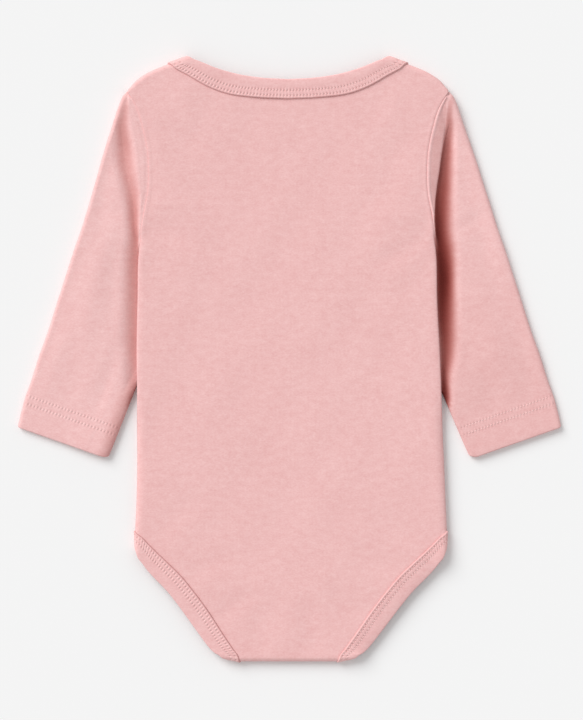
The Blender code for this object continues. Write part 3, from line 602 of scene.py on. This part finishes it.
def sleeve_ring(part, side, outer, inner):
    """One row round a sleeve, with each point's painted shade and its places along and across the hem.
    """
    away = unit(outer - inner)
    length = np.linalg.norm(outer - inner)
    met = max(seam_crossing(outer, inner), MET_AT_LEAST[side] * ramp(0.5, 0.86, part))
    seam = inner + away * met
    shown = length - met
    tail = min(3.0, met * 0.6)
    round_in = min(2.6, shown / 2 - 0.3)
    near, cap = sleeve_strip(side, seam, away, shown - round_in, tail)
    top = open_layer(part, side, seam, away, near[-1], shown, round_in)
    turn = np.radians(np.linspace(0, 180, 11))[1:-1]
    centre = outer - away * round_in
    fold = folded_over(centre, away, round_in, top[-1, 2], turn)
    inner_round = 2.6 if side > 0 else 3.8 + 3.4 * ramp(0.84, 0.92, part)
    inner_round = min(inner_round, length / 2 - 0.3)
    end = inner + away * inner_round
    below = centre + (end - centre) * np.linspace(0, 1, 30)[:, None]
    below = np.column_stack([below, under_level(*below.T)])
    back = end + (seam - away * tail - end) * np.linspace(0, 1, 14)[:, None]
    if met - tail < inner_round:
        back = end + away * np.linspace(0, 1.2, 14)[:, None]
    hidden = sleeve_level(*back.T, side)
    if strip_raised(seam[1]) > 0:
        hidden = np.minimum(hidden, SHOULDER_LEVEL - 1.2)
    inner_fold = folded_over(end, -away, inner_round, hidden[0], turn[::-1])
    ring = np.concatenate([cap, top, fold, below, inner_fold, np.column_stack([back, hidden])])
    along = (ring[:, :2] - outer_end()) @ cuff_direction()
    far = cuff_distance(ring[:, 0], ring[:, 1])
    shade = painted_sleeve_shade(ring, side, seam[1], near, along, far)
    first = len(cap) + len(top) + len(fold)
    shade[first:first + len(below)] = 0
    inner_corner = 2.0 * np.clip((along - CUFF_WIDTH + 3.5) / 5, 0, 1.3) ** 2
    outer_corner = 0.8 * np.clip((2.5 - along) / 3, 0, 1) ** 2
    ring[:, :2] -= cuff_outward() * ((inner_corner + outer_corner) * ramp(9, 0, far))[:, None]
    ring[:, 0] *= side
    return np.column_stack([ring, shade, along, far])


def strip_raised(seam_y):
    """1 where a sleeve's strip is up at the body's height, 0 below the armhole."""
    return ramp(UNDERARM - 10, UNDERARM - 4, seam_y)


def strip_outside(seam_y):
    """1 where a sleeve's strip lies outside the body's edge, 0 where it hides under it."""
    return ramp(UNDERARM - 4, UNDERARM + 2, seam_y)


def sleeve_strip(side, seam, away, room, tail):
    """The strip of a sleeve at the body's height, its fall, and two points inside its seam.

    Returns how far each point but those two is from the seam, and all the points.
    """
    outside = strip_outside(seam[1])
    turned = edge_turn(seam[1])
    width = STRIP[side].at("width", seam[1])
    fall = STRIP[side].at("fall", seam[1])
    drop = np.linspace(0, 1, 10)[1:]
    if side > 0:
        fallen = fall * ramp(0, 1, drop) + 0.5 * np.sin(np.pi * drop) * ramp(1.2, 0, fall)
    else:
        fallen = fall * drop
    near = np.concatenate([np.linspace(0, 1, STRIP_STEPS) * width, width + fallen])
    near *= min(1, 0.8 * room / near[-1])
    near[0] = STRIP_START[side] - (HALF + 0.15) * turned
    hidden = np.linspace(-tail, 1.5, len(near))
    near = hidden + (near - hidden) * outside
    place = seam + away * near[:, None]
    low = sleeve_level(*place.T, side)
    high = SHOULDER_LEVEL - turned * (SHOULDER_LEVEL - FLOOR_LEVEL - OVER_SLEEVE) / 2
    relief = strip_relief(near[:STRIP_STEPS], width, side)
    high = high + relief * ramp(176, 168, seam[1]) * (1 - turned)
    # Its edge rolls over on the right, and is a soft slope on the left.
    sunk = drop if side > 0 else ramp(0, 1, drop)
    high = np.concatenate([high, high[-1] + (low[-1] - high[-1]) * sunk])
    level = low + (np.maximum(high, low) - low) * strip_raised(seam[1])
    lead = np.array(STRIP_LEAD[side]) * outside
    lead[:, 1] *= 0.25 + 0.75 * ramp(82, 96, seam[1])
    lead = np.column_stack([seam + away * (near[0] + lead[:, :1]), level[0] + lead[:, 1]])
    return near, np.concatenate([lead, np.column_stack([place, level])])


def strip_relief(across, width, side):
    """The seam's turned edges under the strip: a crisp roll beside the seam, then its allowance."""
    share = across / max(width, 0.1)
    if side < 0:
        return 0.05 * ramp(0.84, 0.93, share) * ramp(1, 3, width) - 0.24 * ramp(3.2, 1.0, across)
    return (0.5 * bell(across - 0.8, 0.5) - 0.4 * bell(across, 0.35)
            - 1.9 * np.clip(share, 0, 1) ** 1.2 * ramp(0, 6, width))


def open_layer(part, side, seam, away, start, shown, round_in):
    """A sleeve's upper layer from its strip to its outer fold."""
    run = start + (shown - round_in - start) * np.linspace(0, 1, 37)[1:]
    place = seam + away * run[:, None]
    calm = ramp(0, 7, run - start) * ramp(0, 5, shown - run + 1) * ramp(-0.02, 0.16, part)
    hems = ramp(30, 18, cuff_distance(*place.T))
    calm = np.maximum(calm, hems * ramp(-0.5, 2, shown - run))
    level = sleeve_level(*place.T, side) + sleeve_relief(*place.T, side) * calm
    return np.column_stack([place, level])


def folded_over(centre, out, reach, high, turn):
    """Points round a fold that leads outward, from a layer at this height to the surface."""
    place = centre + out * ((reach - HALF) * np.sin(turn))[:, None]
    return np.column_stack([place, fold_level((high - FLOOR_LEVEL) / 2, turn)])


def painted_sleeve_shade(ring, side, seam_y, near, along, far):
    """The shade painted on each point of a row: in the hollow beside the body, on the right strip away
    from its seam and along the left sleeve's inner edge near its cuff. The right sleeve is also a little
    deeper toward its lower end.
    """
    outside = strip_outside(seam_y)
    lead = len(STRIP_LEAD[side])
    strip = slice(0, lead + STRIP_STEPS)
    shade = painted_hollow_shade(ring[:, 0], ring[:, 1], side)
    shade[strip] *= 1 - outside
    # On the left, shade painted along the sleeve's inner edge near its cuff, which rounds away from the
    # key.
    if side < 0:
        return shade + 0.13 * ramp(52, 64, along) * ramp(60, 35, far)
    # On the right, shade painted on the strip away from its seam, where it slopes away from the key.
    beside = np.pad(ramp(1.2, 2.6, near[:STRIP_STEPS]), (lead, 0), mode="edge")
    shade[strip] += 0.05 * outside * ramp(0, 3, STRIP[side].at("width", seam_y)) * beside
    # The right sleeve's colour is also a little deeper toward its lower end.
    return shade + 0.026 * ramp(90, -10, ring[:, 1])


def settled(points):
    """Points in mm, moved as the body lies a little askew: to the left at its middle."""
    points = np.array(points, dtype=float)
    aside = ramp(132, 112, np.abs(points[..., 0]))
    points[..., 0] += LIES.at("shift", points[..., 1]) * aside
    return points


def mesh_from_rows(name, rows):
    """A mesh through rows of points in mm, with no face where a point is missing.

    Columns after the third are kept with the points: how much shade is painted on each, and
    its distances along and across the stitched rows.
    """
    count, across = rows.shape[:2]
    present = ~np.isnan(rows[..., 0])
    index = np.full((count, across), -1)
    index[present] = np.arange(present.sum())
    quads = np.stack([index[:-1, :-1], index[:-1, 1:], index[1:, 1:], index[1:, :-1]], axis=-1)
    quads = quads.reshape(-1, 4)
    quads = quads[(quads >= 0).all(axis=1)]
    mesh = bpy.data.meshes.new(name)
    mesh.from_pydata((settled(rows[present][:, :3]) * MM).tolist(), [], quads.tolist())
    mesh.update()
    for column, kept in zip(range(3, rows.shape[2]), ("painted_shade", "stitch_along", "stitch_across")):
        mesh.attributes.new(kept, "FLOAT", "POINT").data.foreach_set("value", rows[present][:, column])
    return mesh


def new_object(name, data):
    """An object in the scene."""
    made = bpy.data.objects.new(name, data)
    bpy.context.scene.collection.objects.link(made)
    return made


def new_piece(name, mesh, material, node=None):
    """A piece that rides on the garment, in its node's place where it has one."""
    made = new_object(name, mesh)
    mesh.materials.append(material)
    mesh.shade_smooth()
    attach(made, "root")
    if node:
        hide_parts(node)
    return made


def thicken(made, wall):
    """Gives a sheet its thickness, half to each side."""
    solid = made.modifiers.new("cloth", "SOLIDIFY")
    solid.thickness = wall * MM
    solid.offset = 0
    solid.use_quality_normals = True


def weld(mesh):
    """Joins points of a mesh that lie in one place, and turns its faces one way."""
    work = bmesh.new()
    work.from_mesh(mesh)
    bmesh.ops.remove_doubles(work, verts=work.verts, dist=WELD_REACH)
    bmesh.ops.recalc_face_normals(work, faces=work.faces)
    work.to_mesh(mesh)
    work.free()


# Bindings.

def smooth_path(points, spacing):
    """Points on a smooth curve through others, at an even spacing in mm."""
    points = np.asarray(points, dtype=float)
    steps = np.linalg.norm(np.diff(points[:, :3], axis=0), axis=1)
    far = np.concatenate([[0], np.cumsum(steps)])
    slopes = np.gradient(points, far, axis=0)
    where = np.linspace(0, far[-1], max(int(far[-1] / spacing), 2))
    i = np.clip(np.searchsorted(far, where) - 1, 0, len(far) - 2)
    step = (far[i + 1] - far[i])[:, None]
    return cubic((where - far[i])[:, None] / step, step, points, slopes, i)


def leg_stations(side):
    """Seam, free edge and outward direction of a leg binding, from the back tab to the front."""
    low = FLOOR_LEVEL + BINDING_LIFT
    found = []
    for y in (BACK_TAB_END, -173, -178, -182, -185, -187.8, -191, CROTCH_AXIS):
        half = BACK_TAB.at("half", y)
        level = tab_level(y) + BINDING_LIFT * ramp(-188, -193, y)
        near = ramp(-184, CROTCH_AXIS, y)
        free_x = half + 12 + (39.0 - half - 12) * near
        free_y = y + (-192.0 - CROTCH_AXIS) * near
        found.append((half, y, level, free_x, free_y, level, 0, 0, -1))
    for turn in np.radians((150, 120, 90, 60, 30)):
        share = turn / np.pi
        half, y, level = crotch_fold(turn)
        level += BINDING_LIFT * share
        free_x = BACK_LEG.at("free_x", CROTCH_AXIS) - 6.0 * share
        free_y = -192.4 - 1.2 * np.sin(turn) + 0.4 * share
        found.append((half, y, level, free_x, free_y, level, 0, -np.sin(turn), np.cos(turn)))
    for y in (CROTCH_AXIS, -188, -182, -175, -168, -160, -150, -141, -133, -126, -120, LEG_TOP):
        half = BACK_LEG.at("half", y)
        level = back_level(half, y)
        lean = LEG_LEAN[side] * (ramp(-192, -182, y) * ramp(-118, -128, y))
        found.append((half, y, level, *BACK_LEG.place(y, "free_"), level - lean, 0, 0, 1))
    high = back_level(97, LEG_TOP)
    seam_mid = np.array([SIDE.at("half", HIP) - HALF, HIP - 0.6])
    free_mid = np.array([100.3, -123.6])
    for angle in (30, 60, 90, 120, 150):
        turn = np.radians(angle)
        out = np.sin(turn)
        leg = BACK_LEG if angle < 90 else FRONT_LEG
        seam = np.array([leg.at("half", LEG_TOP), LEG_TOP - 0.6])
        free = leg.place(LEG_TOP, "free_")
        seam = seam + (seam_mid - seam) * out
        free = free + (free_mid - free) * out
        level = (high + low) / 2 + (high - low) / 2 * np.cos(turn)
        found.append((*seam, level, *free, level, out, 0, np.cos(turn)))
    for y in (LEG_TOP, -120, -126, -133, -141, -150, -160, -168, -175, -181, FRONT_TAB_END):
        found.append((FRONT_LEG.at("half", y), y, low, *FRONT_LEG.place(y, "free_"), low, 0, 0, -1))
    found = np.array(found)
    found[:, [0, 3, 6]] *= side
    return smooth_path(found, 0.6)


def mirrored(half):
    """Stations from the middle outwards, led by their mirror images."""
    half = np.array(half)
    left = half[:0:-1].copy()
    left[:, [0, 3, 6]] *= -1
    return np.concatenate([left, half])


def back_neck_stations():
    """Stations of the back neck binding, over both shoulder folds to the ends of the laps."""
    found = []
    for part in np.linspace(0, 0.665, 14):
        x, y, level = back_point(part, BACK_NECK.at("y", part))
        level += (SHOULDER_LEVEL - level) * ramp(0.45, 0.7, part)
        found.append((x, y, level, *BACK_NECK.place(part, "free_"), level, 0, 0, 1))
    axis, out = shoulder_axis(NECK_CORNER)
    along = np.array([out[1], -out[0]])
    for angle, aslant, free_x, free_y in NECK_TURN:
        turn = np.radians(angle)
        seam = axis + out * SHOULDER_RADIUS * np.sin(turn) + along * aslant
        level = fold_level(SHOULDER_RADIUS, turn) + BINDING_LIFT * angle / 180
        found.append((*seam, level, free_x, free_y, level, *(out * np.sin(turn)), np.cos(turn)))
    level = FLOOR_LEVEL + BINDING_LIFT
    for part in np.linspace(NECK_CORNER, 1, 9):
        found.append((*LAP.place(part), level, *LAP.place(part, "free_"), level, 0, 0, -1))
    return smooth_path(mirrored(found), 0.55)


def front_neck_stations():
    """Stations of the front neck binding."""
    found = []
    for part in np.linspace(0, 1, 24):
        x, y, level = front_point(part, FRONT_NECK.at("y", part))
        free = FRONT_NECK.place(part, "free_")
        found.append((x, y, level + BINDING_LIFT, *free, front_level(*free) + BINDING_LIFT, 0, 0, -1))
    return smooth_path(mirrored(found), 0.75)


def lengths_along(path):
    """How far along a path each of its points is."""
    return np.concatenate([[0], np.cumsum(np.linalg.norm(np.diff(path, axis=0), axis=1))])


def binding_frame(stations):
    """A binding's seam, outward direction, direction across to its free edge, and width."""
    seam = stations[:, 0:3]
    reach = stations[:, 3:6] - seam
    return seam, unit(stations[:, 6:9]), unit(reach), np.linalg.norm(reach, axis=1)


def leaf_at(out, leaf):
    """How far a binding's outer leaf stands off; underneath it is pressed flatter."""
    return UNDER_LEAF + (leaf - UNDER_LEAF) * ramp(-0.9, 0.2, out[:, 2])


def binding_rows(stations, rows_at, leaf, groove):
    """A strip folded over a panel's edge: outer leaf, free fold, inner leaf.

    rows_at are the stitched rows' distances from the seam; the outer leaf rolls down to the
    seam and dips along the rows, more at each hole; groove is how deep it lies along the first.
    """
    seam, out, across, width = binding_frame(stations)
    travelled = lengths_along(seam)
    leaf = leaf_at(out, leaf)
    fold = (leaf + INNER_LEAF) / 2
    at_seam = 0.3
    roll = 0.45
    rows = []

    def add(along, up):
        along, up = (np.broadcast_to(size, len(width)) for size in (along, up))
        place = seam + across * along[:, None] + out * up[:, None]
        rows.append(np.column_stack([place, 0 * along, travelled, np.where(up > 0, along, 0)]))

    holes = 0.5 + 0.5 * np.cos(2 * np.pi * travelled / STITCH)
    stitched = np.concatenate([[0, 0.08, 0.18, 0.32, 0.5], np.arange(0.8, rows_at[-1] + 1.3, 0.38)])
    for far in stitched:
        climb = np.sqrt(1 - (1 - min(far / roll, 1)) ** 2)
        up = at_seam + (leaf - at_seam) * climb + 0.1 * bell(far - 0.6, 0.5) * climb
        dip = sum(bell(far - row, 0.5) * (depth + 0.12 * holes)
                  for row, depth in zip(rows_at, (groove, PLAIN_GROOVE)))
        pucker = 0.09 * (holes - 0.5) * sum(bell(far - row, 1.1) for row in rows_at)
        add(far, up - dip - pucker)
    for share in np.linspace(0, 1, 7)[1:]:
        far = stitched[-1] + (width - fold - stitched[-1]) * share
        add(far, leaf + 0.14 * np.sin(np.pi * share))
    for turn in np.radians(np.linspace(18, 162, 8)):
        add(width - fold + (fold - 0.25) * np.sin(turn), (leaf - INNER_LEAF) / 2 + fold * np.cos(turn))
    for share in np.linspace(1, 0, 8):
        add(0.3 + (width - fold - 0.3) * share, (0 if share else at_seam) - INNER_LEAF)
    return np.array(rows).transpose(1, 0, 2)


def add_stitches(name, paths, material):
    """Rows of thread, each stitch a short spindle that bows out of the cloth and back in.

    Each path is its points, the cloth's outward directions there, and lengths along the seam.
    """
    sides = 6
    angles = np.arange(sides) * 2 * np.pi / sides
    # Rings of a spindle: share of its length, girth, and lift from the path.
    profile = [(-0.5, 0.3, -0.28), (-0.36, 0.9, -0.03), (0, 1.0, 0.06), (0.36, 0.9, -0.03),
               (0.5, 0.3, -0.28)]
    points = []
    faces = []
    for places, normals, far in paths:
        for number in range(int(far[-1] / STITCH)):
            centre = (number + 0.5) * STITCH
            where, ahead = (np.array([np.interp(centre + step, far, places[:, k]) for k in range(3)])
                            for step in (0, 0.4 * STITCH))
            normal = unit([np.interp(centre, far, normals[:, k]) for k in range(3)])
            run = (ahead - where) * 2
            cross = np.cross(normal, unit(run))
            wander = cross * 0.07 * np.sin(number * 2.4)
            first = len(points)
            for share, girth, lift in profile:
                middle = where + run * share + normal * lift + wander
                for angle in angles:
                    ring = cross * np.cos(angle) + normal * np.sin(angle) * 0.8
                    points.append(middle + ring * THREAD * girth)
            last = len(points) - sides
            for ring in range(first, last, sides):
                for k in range(sides):
                    a = ring + k
                    b = ring + (k + 1) % sides
                    faces.append((a, b, b + sides, a + sides))
            faces.append(tuple(first + k for k in reversed(range(sides))))
            faces.append(tuple(last + k for k in range(sides)))
    mesh = bpy.data.meshes.new(name)
    mesh.from_pydata((settled(points) * MM).tolist(), [], faces)
    new_piece(name, mesh, material)


def binding_stitches(stations, rows_at, leaf):
    """Where a binding's stitched rows run, on its outer leaf."""
    seam, out, across, _ = binding_frame(stations)
    far = lengths_along(seam)
    high = leaf_at(out, leaf)[:, None] + 0.12 + 0.08 * ramp(-0.9, 0.2, out[:, 2:])
    return [(seam + across * row + out * high, out, far) for row in rows_at]


# Materials.

def set_inputs(tree, node, inputs):
    """Gives a node's inputs plain values, or links them to other nodes' outputs."""
    for name, value in inputs.items():
        if hasattr(value, "is_linked"):
            tree.links.new(value, node.inputs[name])
        else:
            node.inputs[name].default_value = value


def add_node(tree, kind, inputs, **settings):
    """A new shader node; its settings come first, because they can change what it takes."""
    node = tree.nodes.new("ShaderNode" + kind)
    for name, value in settings.items():
        setattr(node, name, value)
    set_inputs(tree, node, inputs)
    return node


def math_node(tree, operation, *values):
    """The result of an operation on values and other nodes' outputs."""
    return add_node(tree, "Math", dict(enumerate(values)), operation=operation).outputs[0]


def noise_node(tree, vector, scale, detail, roughness):
    """The value of a noise texture."""
    inputs = {"Vector": vector, "Scale": scale, "Detail": detail, "Roughness": roughness}
    return add_node(tree, "TexNoise", inputs).outputs["Fac"]


def kept_value(tree, name):
    """A value that is kept with a mesh's points."""
    return add_node(tree, "Attribute", {}, attribute_name=name).outputs["Fac"]


def mixed_colour(tree, share, first, second, blend="MIX"):
    """Two colours mixed: the first where the share is 0, the second where it is 1."""
    inputs = {"Factor": share, "A": first, "B": second}
    return add_node(tree, "Mix", inputs, data_type="RGBA", blend_type=blend).outputs["Result"]


def bumped(tree, layers):
    """The surface's direction under layers of bumps: how strong, how high in metres, and where."""
    inputs = {}
    for strength, distance, height in layers:
        inputs.update({"Strength": strength, "Distance": distance, "Height": height})
        inputs["Normal"] = add_node(tree, "Bump", inputs).outputs["Normal"]
    return inputs["Normal"]


def new_material(name):
    """A material, its node tree and its shader."""
    made = bpy.data.materials.new(name)
    made.use_nodes = True
    return made, made.node_tree, made.node_tree.nodes["Principled BSDF"]


def painted_shade_colour(tree, colour):
    """The colour with shade painted in: deeper and redder where the cloth is shut in, for light that
    only reaches it off more cloth.
    """
    painted_shade = kept_value(tree, "painted_shade")
    # What the painted shade leaves of each channel at its full strength.
    powers = {channel: math_node(tree, "POWER", share, painted_shade)
              for channel, share in (("Red", 0.20), ("Green", 0.050), ("Blue", 0.040))}
    kept = add_node(tree, "CombineColor", powers).outputs["Color"]
    return mixed_colour(tree, 1, colour, kept, "MULTIPLY")


def stitch_shade_and_puckers(tree, rows, colour, strength, step):
    """The colour with shade painted into the needle holes and the crevice at the seam, and light and
    shade painted along each stitch; and the puckers' height.
    """
    math = partial(math_node, tree)
    across = kept_value(tree, "stitch_across")
    beat = math("PINGPONG", kept_value(tree, "stitch_along"), STITCH / 2)
    off = math("MINIMUM", *(math("ABSOLUTE", math("SUBTRACT", across, row)) for row in rows))
    reach = math("SQRT", math("ADD", math("MULTIPLY", beat, beat), math("MULTIPLY", off, off)))
    hole = math("SMOOTH_MIN", math("MULTIPLY", reach, 1.7), 1.0, 0.3)
    beside = math("SMOOTH_MIN", math("MAXIMUM", math("SUBTRACT", 1.7, off), 0.0), 1.0, 0.4)
    tick = math("MULTIPLY", math("SUBTRACT", math("DIVIDE", beat, STITCH / 2), 0.5), beside)
    rise = math("SMOOTH_MIN", math("MULTIPLY", across, 1 / 0.6), 1.0, 0.2)
    # Painted shade in the needle holes, then in the crevice along the seam, then painted light and shade
    # along each stitch.
    kept = math("ADD", math("MULTIPLY", hole, strength), 1 - strength)
    kept = math("MULTIPLY", kept, math("ADD", math("MULTIPLY", rise, step), 1 - step))
    kept = math("MULTIPLY", kept, math("ADD", math("MULTIPLY", tick, 0.2 * strength), 1.0))
    puckers = math("ADD", tick, math("MULTIPLY", hole, 0.8))
    return mixed_colour(tree, kept, STITCH_SHADE_COLOUR, colour), puckers


def cloth_material(name, colour, rows=(), holes=0.45, step=0.0, grain_turn=0.0):
    """Soft cotton interlock: mottled dye, painted shade where it is shut in and at its stitches, fine
    wales in the bump and a little fuzz.

    holes is how much shade is painted into the needle holes, with light and shade along each stitch;
    step is how much shade is painted into the crevice at the seam.
    """
    made, tree, shader = new_material(name)
    math = partial(math_node, tree)
    place = add_node(tree, "TexCoord", {}).outputs["Object"]
    grain = {"Vector": place, "Rotation": (0, 0, np.radians(grain_turn))}
    streaky = add_node(tree, "Mapping", {**grain, "Scale": (0.55, 1.0, 1.0)}).outputs["Vector"]
    broad = math("MULTIPLY", noise_node(tree, place, 38, 3, 0.6), 0.12)
    blotch = math("MULTIPLY", noise_node(tree, streaky, 300, 5, 0.72), 0.46)
    speck = math("MULTIPLY", noise_node(tree, streaky, 1300, 2, 0.6), 0.42)
    dye = add_node(tree, "ValToRGB", {"Fac": math("ADD", broad, math("ADD", blotch, speck))})
    for element, (position, share) in zip(dye.color_ramp.elements, DYE_RANGE):
        element.position = position
        element.color = (*np.minimum(np.multiply(colour, share), 1), 1)
    dyed = dye.outputs["Color"]

    # Each wale is a column of small Vs: a course's phase runs later away from its middle.
    turned = add_node(tree, "Mapping", grain).outputs["Vector"]
    apart = add_node(tree, "SeparateXYZ", {"Vector": turned}).outputs
    leg = math("PINGPONG", math("MULTIPLY", apart["X"], 1 / WALE), 0.5)
    course = math("ADD", math("MULTIPLY", apart["Y"], 1 / COURSE), leg)
    stitch = math("MULTIPLY", math("SINE", math("MULTIPLY", course, 2 * np.pi)), 0.16)
    fuzz = math("MULTIPLY", noise_node(tree, place, 2600, 3, 0.7), 0.6)
    knit = math("ADD", math("MULTIPLY", leg, 1.1), math("ADD", stitch, fuzz))
    pebbles = noise_node(tree, place, 260, 3, 0.55)
    layers = [(0.35, 0.00012, knit), (0.3, 0.00025, pebbles)]
    if rows:
        dyed, puckers = stitch_shade_and_puckers(tree, rows, dyed, holes, step)
        layers.append((0.75, 0.00028, puckers))
    set_inputs(tree, shader, {
        "Base Color": painted_shade_colour(tree, dyed), "Roughness": 0.95, "Specular IOR Level": 0.12,
        "Sheen Weight": 0.12, "Sheen Roughness": 0.6, "Sheen Tint": (1.0, 0.86, 0.85, 1),
        "Normal": bumped(tree, layers)})
    return made


def plain_material(name, colour, roughness, sheen=0.0):
    """A material of one colour with a little unevenness in its surface."""
    made, tree, shader = new_material(name)
    uneven = add_node(tree, "TexNoise", {"Scale": 900}).outputs["Fac"]
    set_inputs(tree, shader, {"Base Color": (*colour, 1), "Roughness": roughness,
                              "Sheen Weight": sheen, "Normal": bumped(tree, [(0.15, 0.0001, uneven)])})
    return made


# The pieces.

def cloth_piece(name, rows, material, wall=WALL):
    """A sheet of cloth in its node's place, given its wall's thickness."""
    mesh = mesh_from_rows(name, rows)
    weld(mesh)
    made = new_piece(name + "_cloth", mesh, material, node=name)
    thicken(made, wall)


def make_binding(name, stations, rows_at, leaf, material, thread,
                 groove=PLAIN_GROOVE):
    """A folded binding and its two rows of stitches."""
    rows = binding_rows(stations, rows_at, leaf, groove)
    cloth_piece(name, rows, material, wall=BINDING_WALL)
    add_stitches(name + "_stitches", binding_stitches(stations, rows_at, leaf), thread)


def cuff_stitches(name, side, thread):
    """Twin rows round a cuff's hem, on both layers."""
    count = 60
    start_in = 2.0
    stop_in = 2.0 if side > 0 else 6.0
    thread_high = HALF + 0.07
    thread_low = 0.28
    run = cuff_direction()
    part = np.linspace(0.85, 1, 400)
    edges = SLEEVE.place(part, "outer_"), SLEEVE.place(part, "inner_")
    paths = []
    for far in HEM_ROWS:
        start, end = (edge[np.argmin(np.abs(cuff_distance(*edge.T) - far))] for edge in edges)
        length = (end - start) @ run
        shift = (start - outer_end()) @ run
        first = np.ceil((shift + start_in) / STITCH) * STITCH - shift
        along = np.linspace(first, length - stop_in, count)
        places = start + run * along[:, None]
        level = sleeve_level(*places.T, side) + sleeve_relief(*places.T, side) + thread_high
        for levels, normal in ((level, 1.0), (np.full(count, thread_low), -1.0)):
            path = np.column_stack([places[:, 0] * side, places[:, 1], levels])
            paths.append((path, np.tile([0, 0, normal], (count, 1)), along - first))
    add_stitches(name, paths, thread)


def snap_cap(number, material):
    """A snap's cap on the underside of the front tab, dished at its middle."""
    profile = [(0.0, 0.5), (2.0, 0.5), (2.6, 0.44), (3.1, 0.16), (3.5, 0.03), (4.0, 0.0), (4.6, 0.08),
               (5.0, 0.4), (5.0, 0.9), (4.6, 1.3), (3.0, 1.5), (0.0, 1.5)]
    sides = 40
    angles = np.linspace(0, 2 * np.pi, sides + 1)[:-1]
    middle = np.array([(number - 2) * SNAP_PITCH, SNAP_Y])
    work = bmesh.new()
    rings = []
    for radius, level in profile:
        ring = []
        for angle in angles if radius else angles[:1]:
            x, y = middle + radius * np.array([np.cos(angle), np.sin(angle)])
            ring.append(work.verts.new(Vector((x, y, level)) * MM))
        rings.append(ring)
    for lower, upper in zip(rings, rings[1:]):
        for k in range(sides):
            after = (k + 1) % sides
            corners = [lower[k % len(lower)], lower[after % len(lower)],
                       upper[after % len(upper)], upper[k % len(upper)]]
            work.faces.new(list(dict.fromkeys(corners)))
    bmesh.ops.recalc_face_normals(work, faces=work.faces)
    mesh = bpy.data.meshes.new(f"snap_{number}_cap")
    work.to_mesh(mesh)
    work.free()
    new_piece(f"snap_{number}_cap", mesh, material, node=f"snap_{number}")


def make_garment():
    """Every piece of the garment."""
    body = cloth_material("interlock_body", PINK)
    # The last numbers of a stitched cloth are the shade painted into its needle holes and at its seam.
    neck = cloth_material("interlock_neck_binding", PINK, NECK_ROWS, 0.45, 0.25)
    thread = plain_material("thread", (0.95, 0.66, 0.64), 0.6, 0.2)
    cap = plain_material("snap_cap", (0.82, 0.66, 0.65), 0.32)
    cloth_piece("back_panel", back_rows(), body)
    cloth_piece("front_panel", front_rows(), body)
    for name, side in (("sleeve_left", -1), ("sleeve_right", 1)):
        cloth = cloth_material("interlock_" + name, SLEEVE_PINK, HEM_ROWS, 0.04, grain_turn=-19 * side)
        cloth_piece(name, sleeve_rows(side), cloth)
        cuff_stitches(name + "_hem_stitches", side, thread)
    make_binding("neck_binding_back", back_neck_stations(), NECK_ROWS, 1.25, neck, thread)
    make_binding("neck_binding_front", front_neck_stations(), NECK_ROWS, 0.95, neck, thread)
    # The left leg binding's seam faces away from the key, so more shade is painted along it.
    for name, side, holes, step, groove in (("leg_binding_left", -1, 0.24, 0.6, PLAIN_GROOVE),
                                            ("leg_binding_right", 1, 0.4, 0.1, 0.3)):
        cloth = cloth_material("interlock_" + name, PINK, LEG_ROWS, holes, step)
        make_binding(name, leg_stations(side), LEG_ROWS, 0.95, cloth, thread,
                     groove)
    for number in (1, 2, 3):
        snap_cap(number, cap)


# The studio. The key's height and bearing are degrees above the table and round from the right.

KEY_STRENGTH = 2.28
KEY_HEIGHT = 34.5
KEY_BEARING = 135.0
KEY_SPREAD = 38.0
FILL_STRENGTH = 0.57
STAGE_GAP = 0.00005      # how far the table top lies under the garment, in metres
SENSOR = 36.0
CAMERA_PLACE = (1.3, -0.5, 1600.0)
FOCUS_LEVEL = 4.0        # the level where the frame is this many millimetres high
FRAME_HEIGHT = 468.0


def make_stage():
    """A plain pale table top."""
    size = 3.0
    mesh = bpy.data.meshes.new("table_top")
    mesh.from_pydata([(-size, -size, 0), (size, -size, 0), (size, size, 0), (-size, size, 0)], [],
                     [(0, 1, 2, 3)])
    made = new_object("stage", mesh)
    made.location = (0, 0, -STAGE_GAP)
    material, tree, shader = new_material("pale_table")
    set_inputs(tree, shader, {"Base Color": (0.925, 0.925, 0.925, 1), "Roughness": 1.0,
                              "Specular IOR Level": 0.0})
    mesh.materials.append(material)


def make_studio():
    """A broad key from the upper left, and an even pale fill from all round."""
    sun = bpy.data.lights.new("key", "SUN")
    sun.energy = KEY_STRENGTH
    sun.angle = np.radians(KEY_SPREAD)
    height, bearing = np.radians((KEY_HEIGHT, KEY_BEARING))
    flat = np.cos(height)
    toward = Vector((flat * np.cos(bearing), flat * np.sin(bearing), np.sin(height)))
    new_object("key", sun).rotation_euler = (-toward).to_track_quat("-Z", "Y").to_euler()
    world = bpy.data.worlds.new("fill")
    world.use_nodes = True
    background = world.node_tree.nodes["Background"]
    background.inputs["Color"].default_value = (1.0, 1.0, 1.0, 1)
    background.inputs["Strength"].default_value = FILL_STRENGTH
    scene = bpy.context.scene
    scene.world = world
    scene.view_settings.view_transform = "Standard"
    scene.view_settings.look = "None"
    scene.view_settings.exposure = 0.0


def make_camera():
    """Straight above, framed on the whole garment, its head at the top."""
    lens = bpy.data.cameras.new("camera")
    lens.sensor_fit = "VERTICAL"
    lens.sensor_height = SENSOR
    lens.lens = SENSOR * (CAMERA_PLACE[2] - FOCUS_LEVEL) / FRAME_HEIGHT
    camera = new_object("camera", lens)
    camera.location = Vector(CAMERA_PLACE) * MM
    bpy.context.scene.camera = camera


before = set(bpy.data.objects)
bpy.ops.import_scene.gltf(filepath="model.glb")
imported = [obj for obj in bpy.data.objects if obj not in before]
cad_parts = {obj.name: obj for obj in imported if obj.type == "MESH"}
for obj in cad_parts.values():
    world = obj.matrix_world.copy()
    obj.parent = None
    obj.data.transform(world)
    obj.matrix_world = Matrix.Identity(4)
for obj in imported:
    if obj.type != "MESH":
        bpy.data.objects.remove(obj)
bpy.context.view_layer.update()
make_camera()
make_studio()
make_stage()
make_garment()
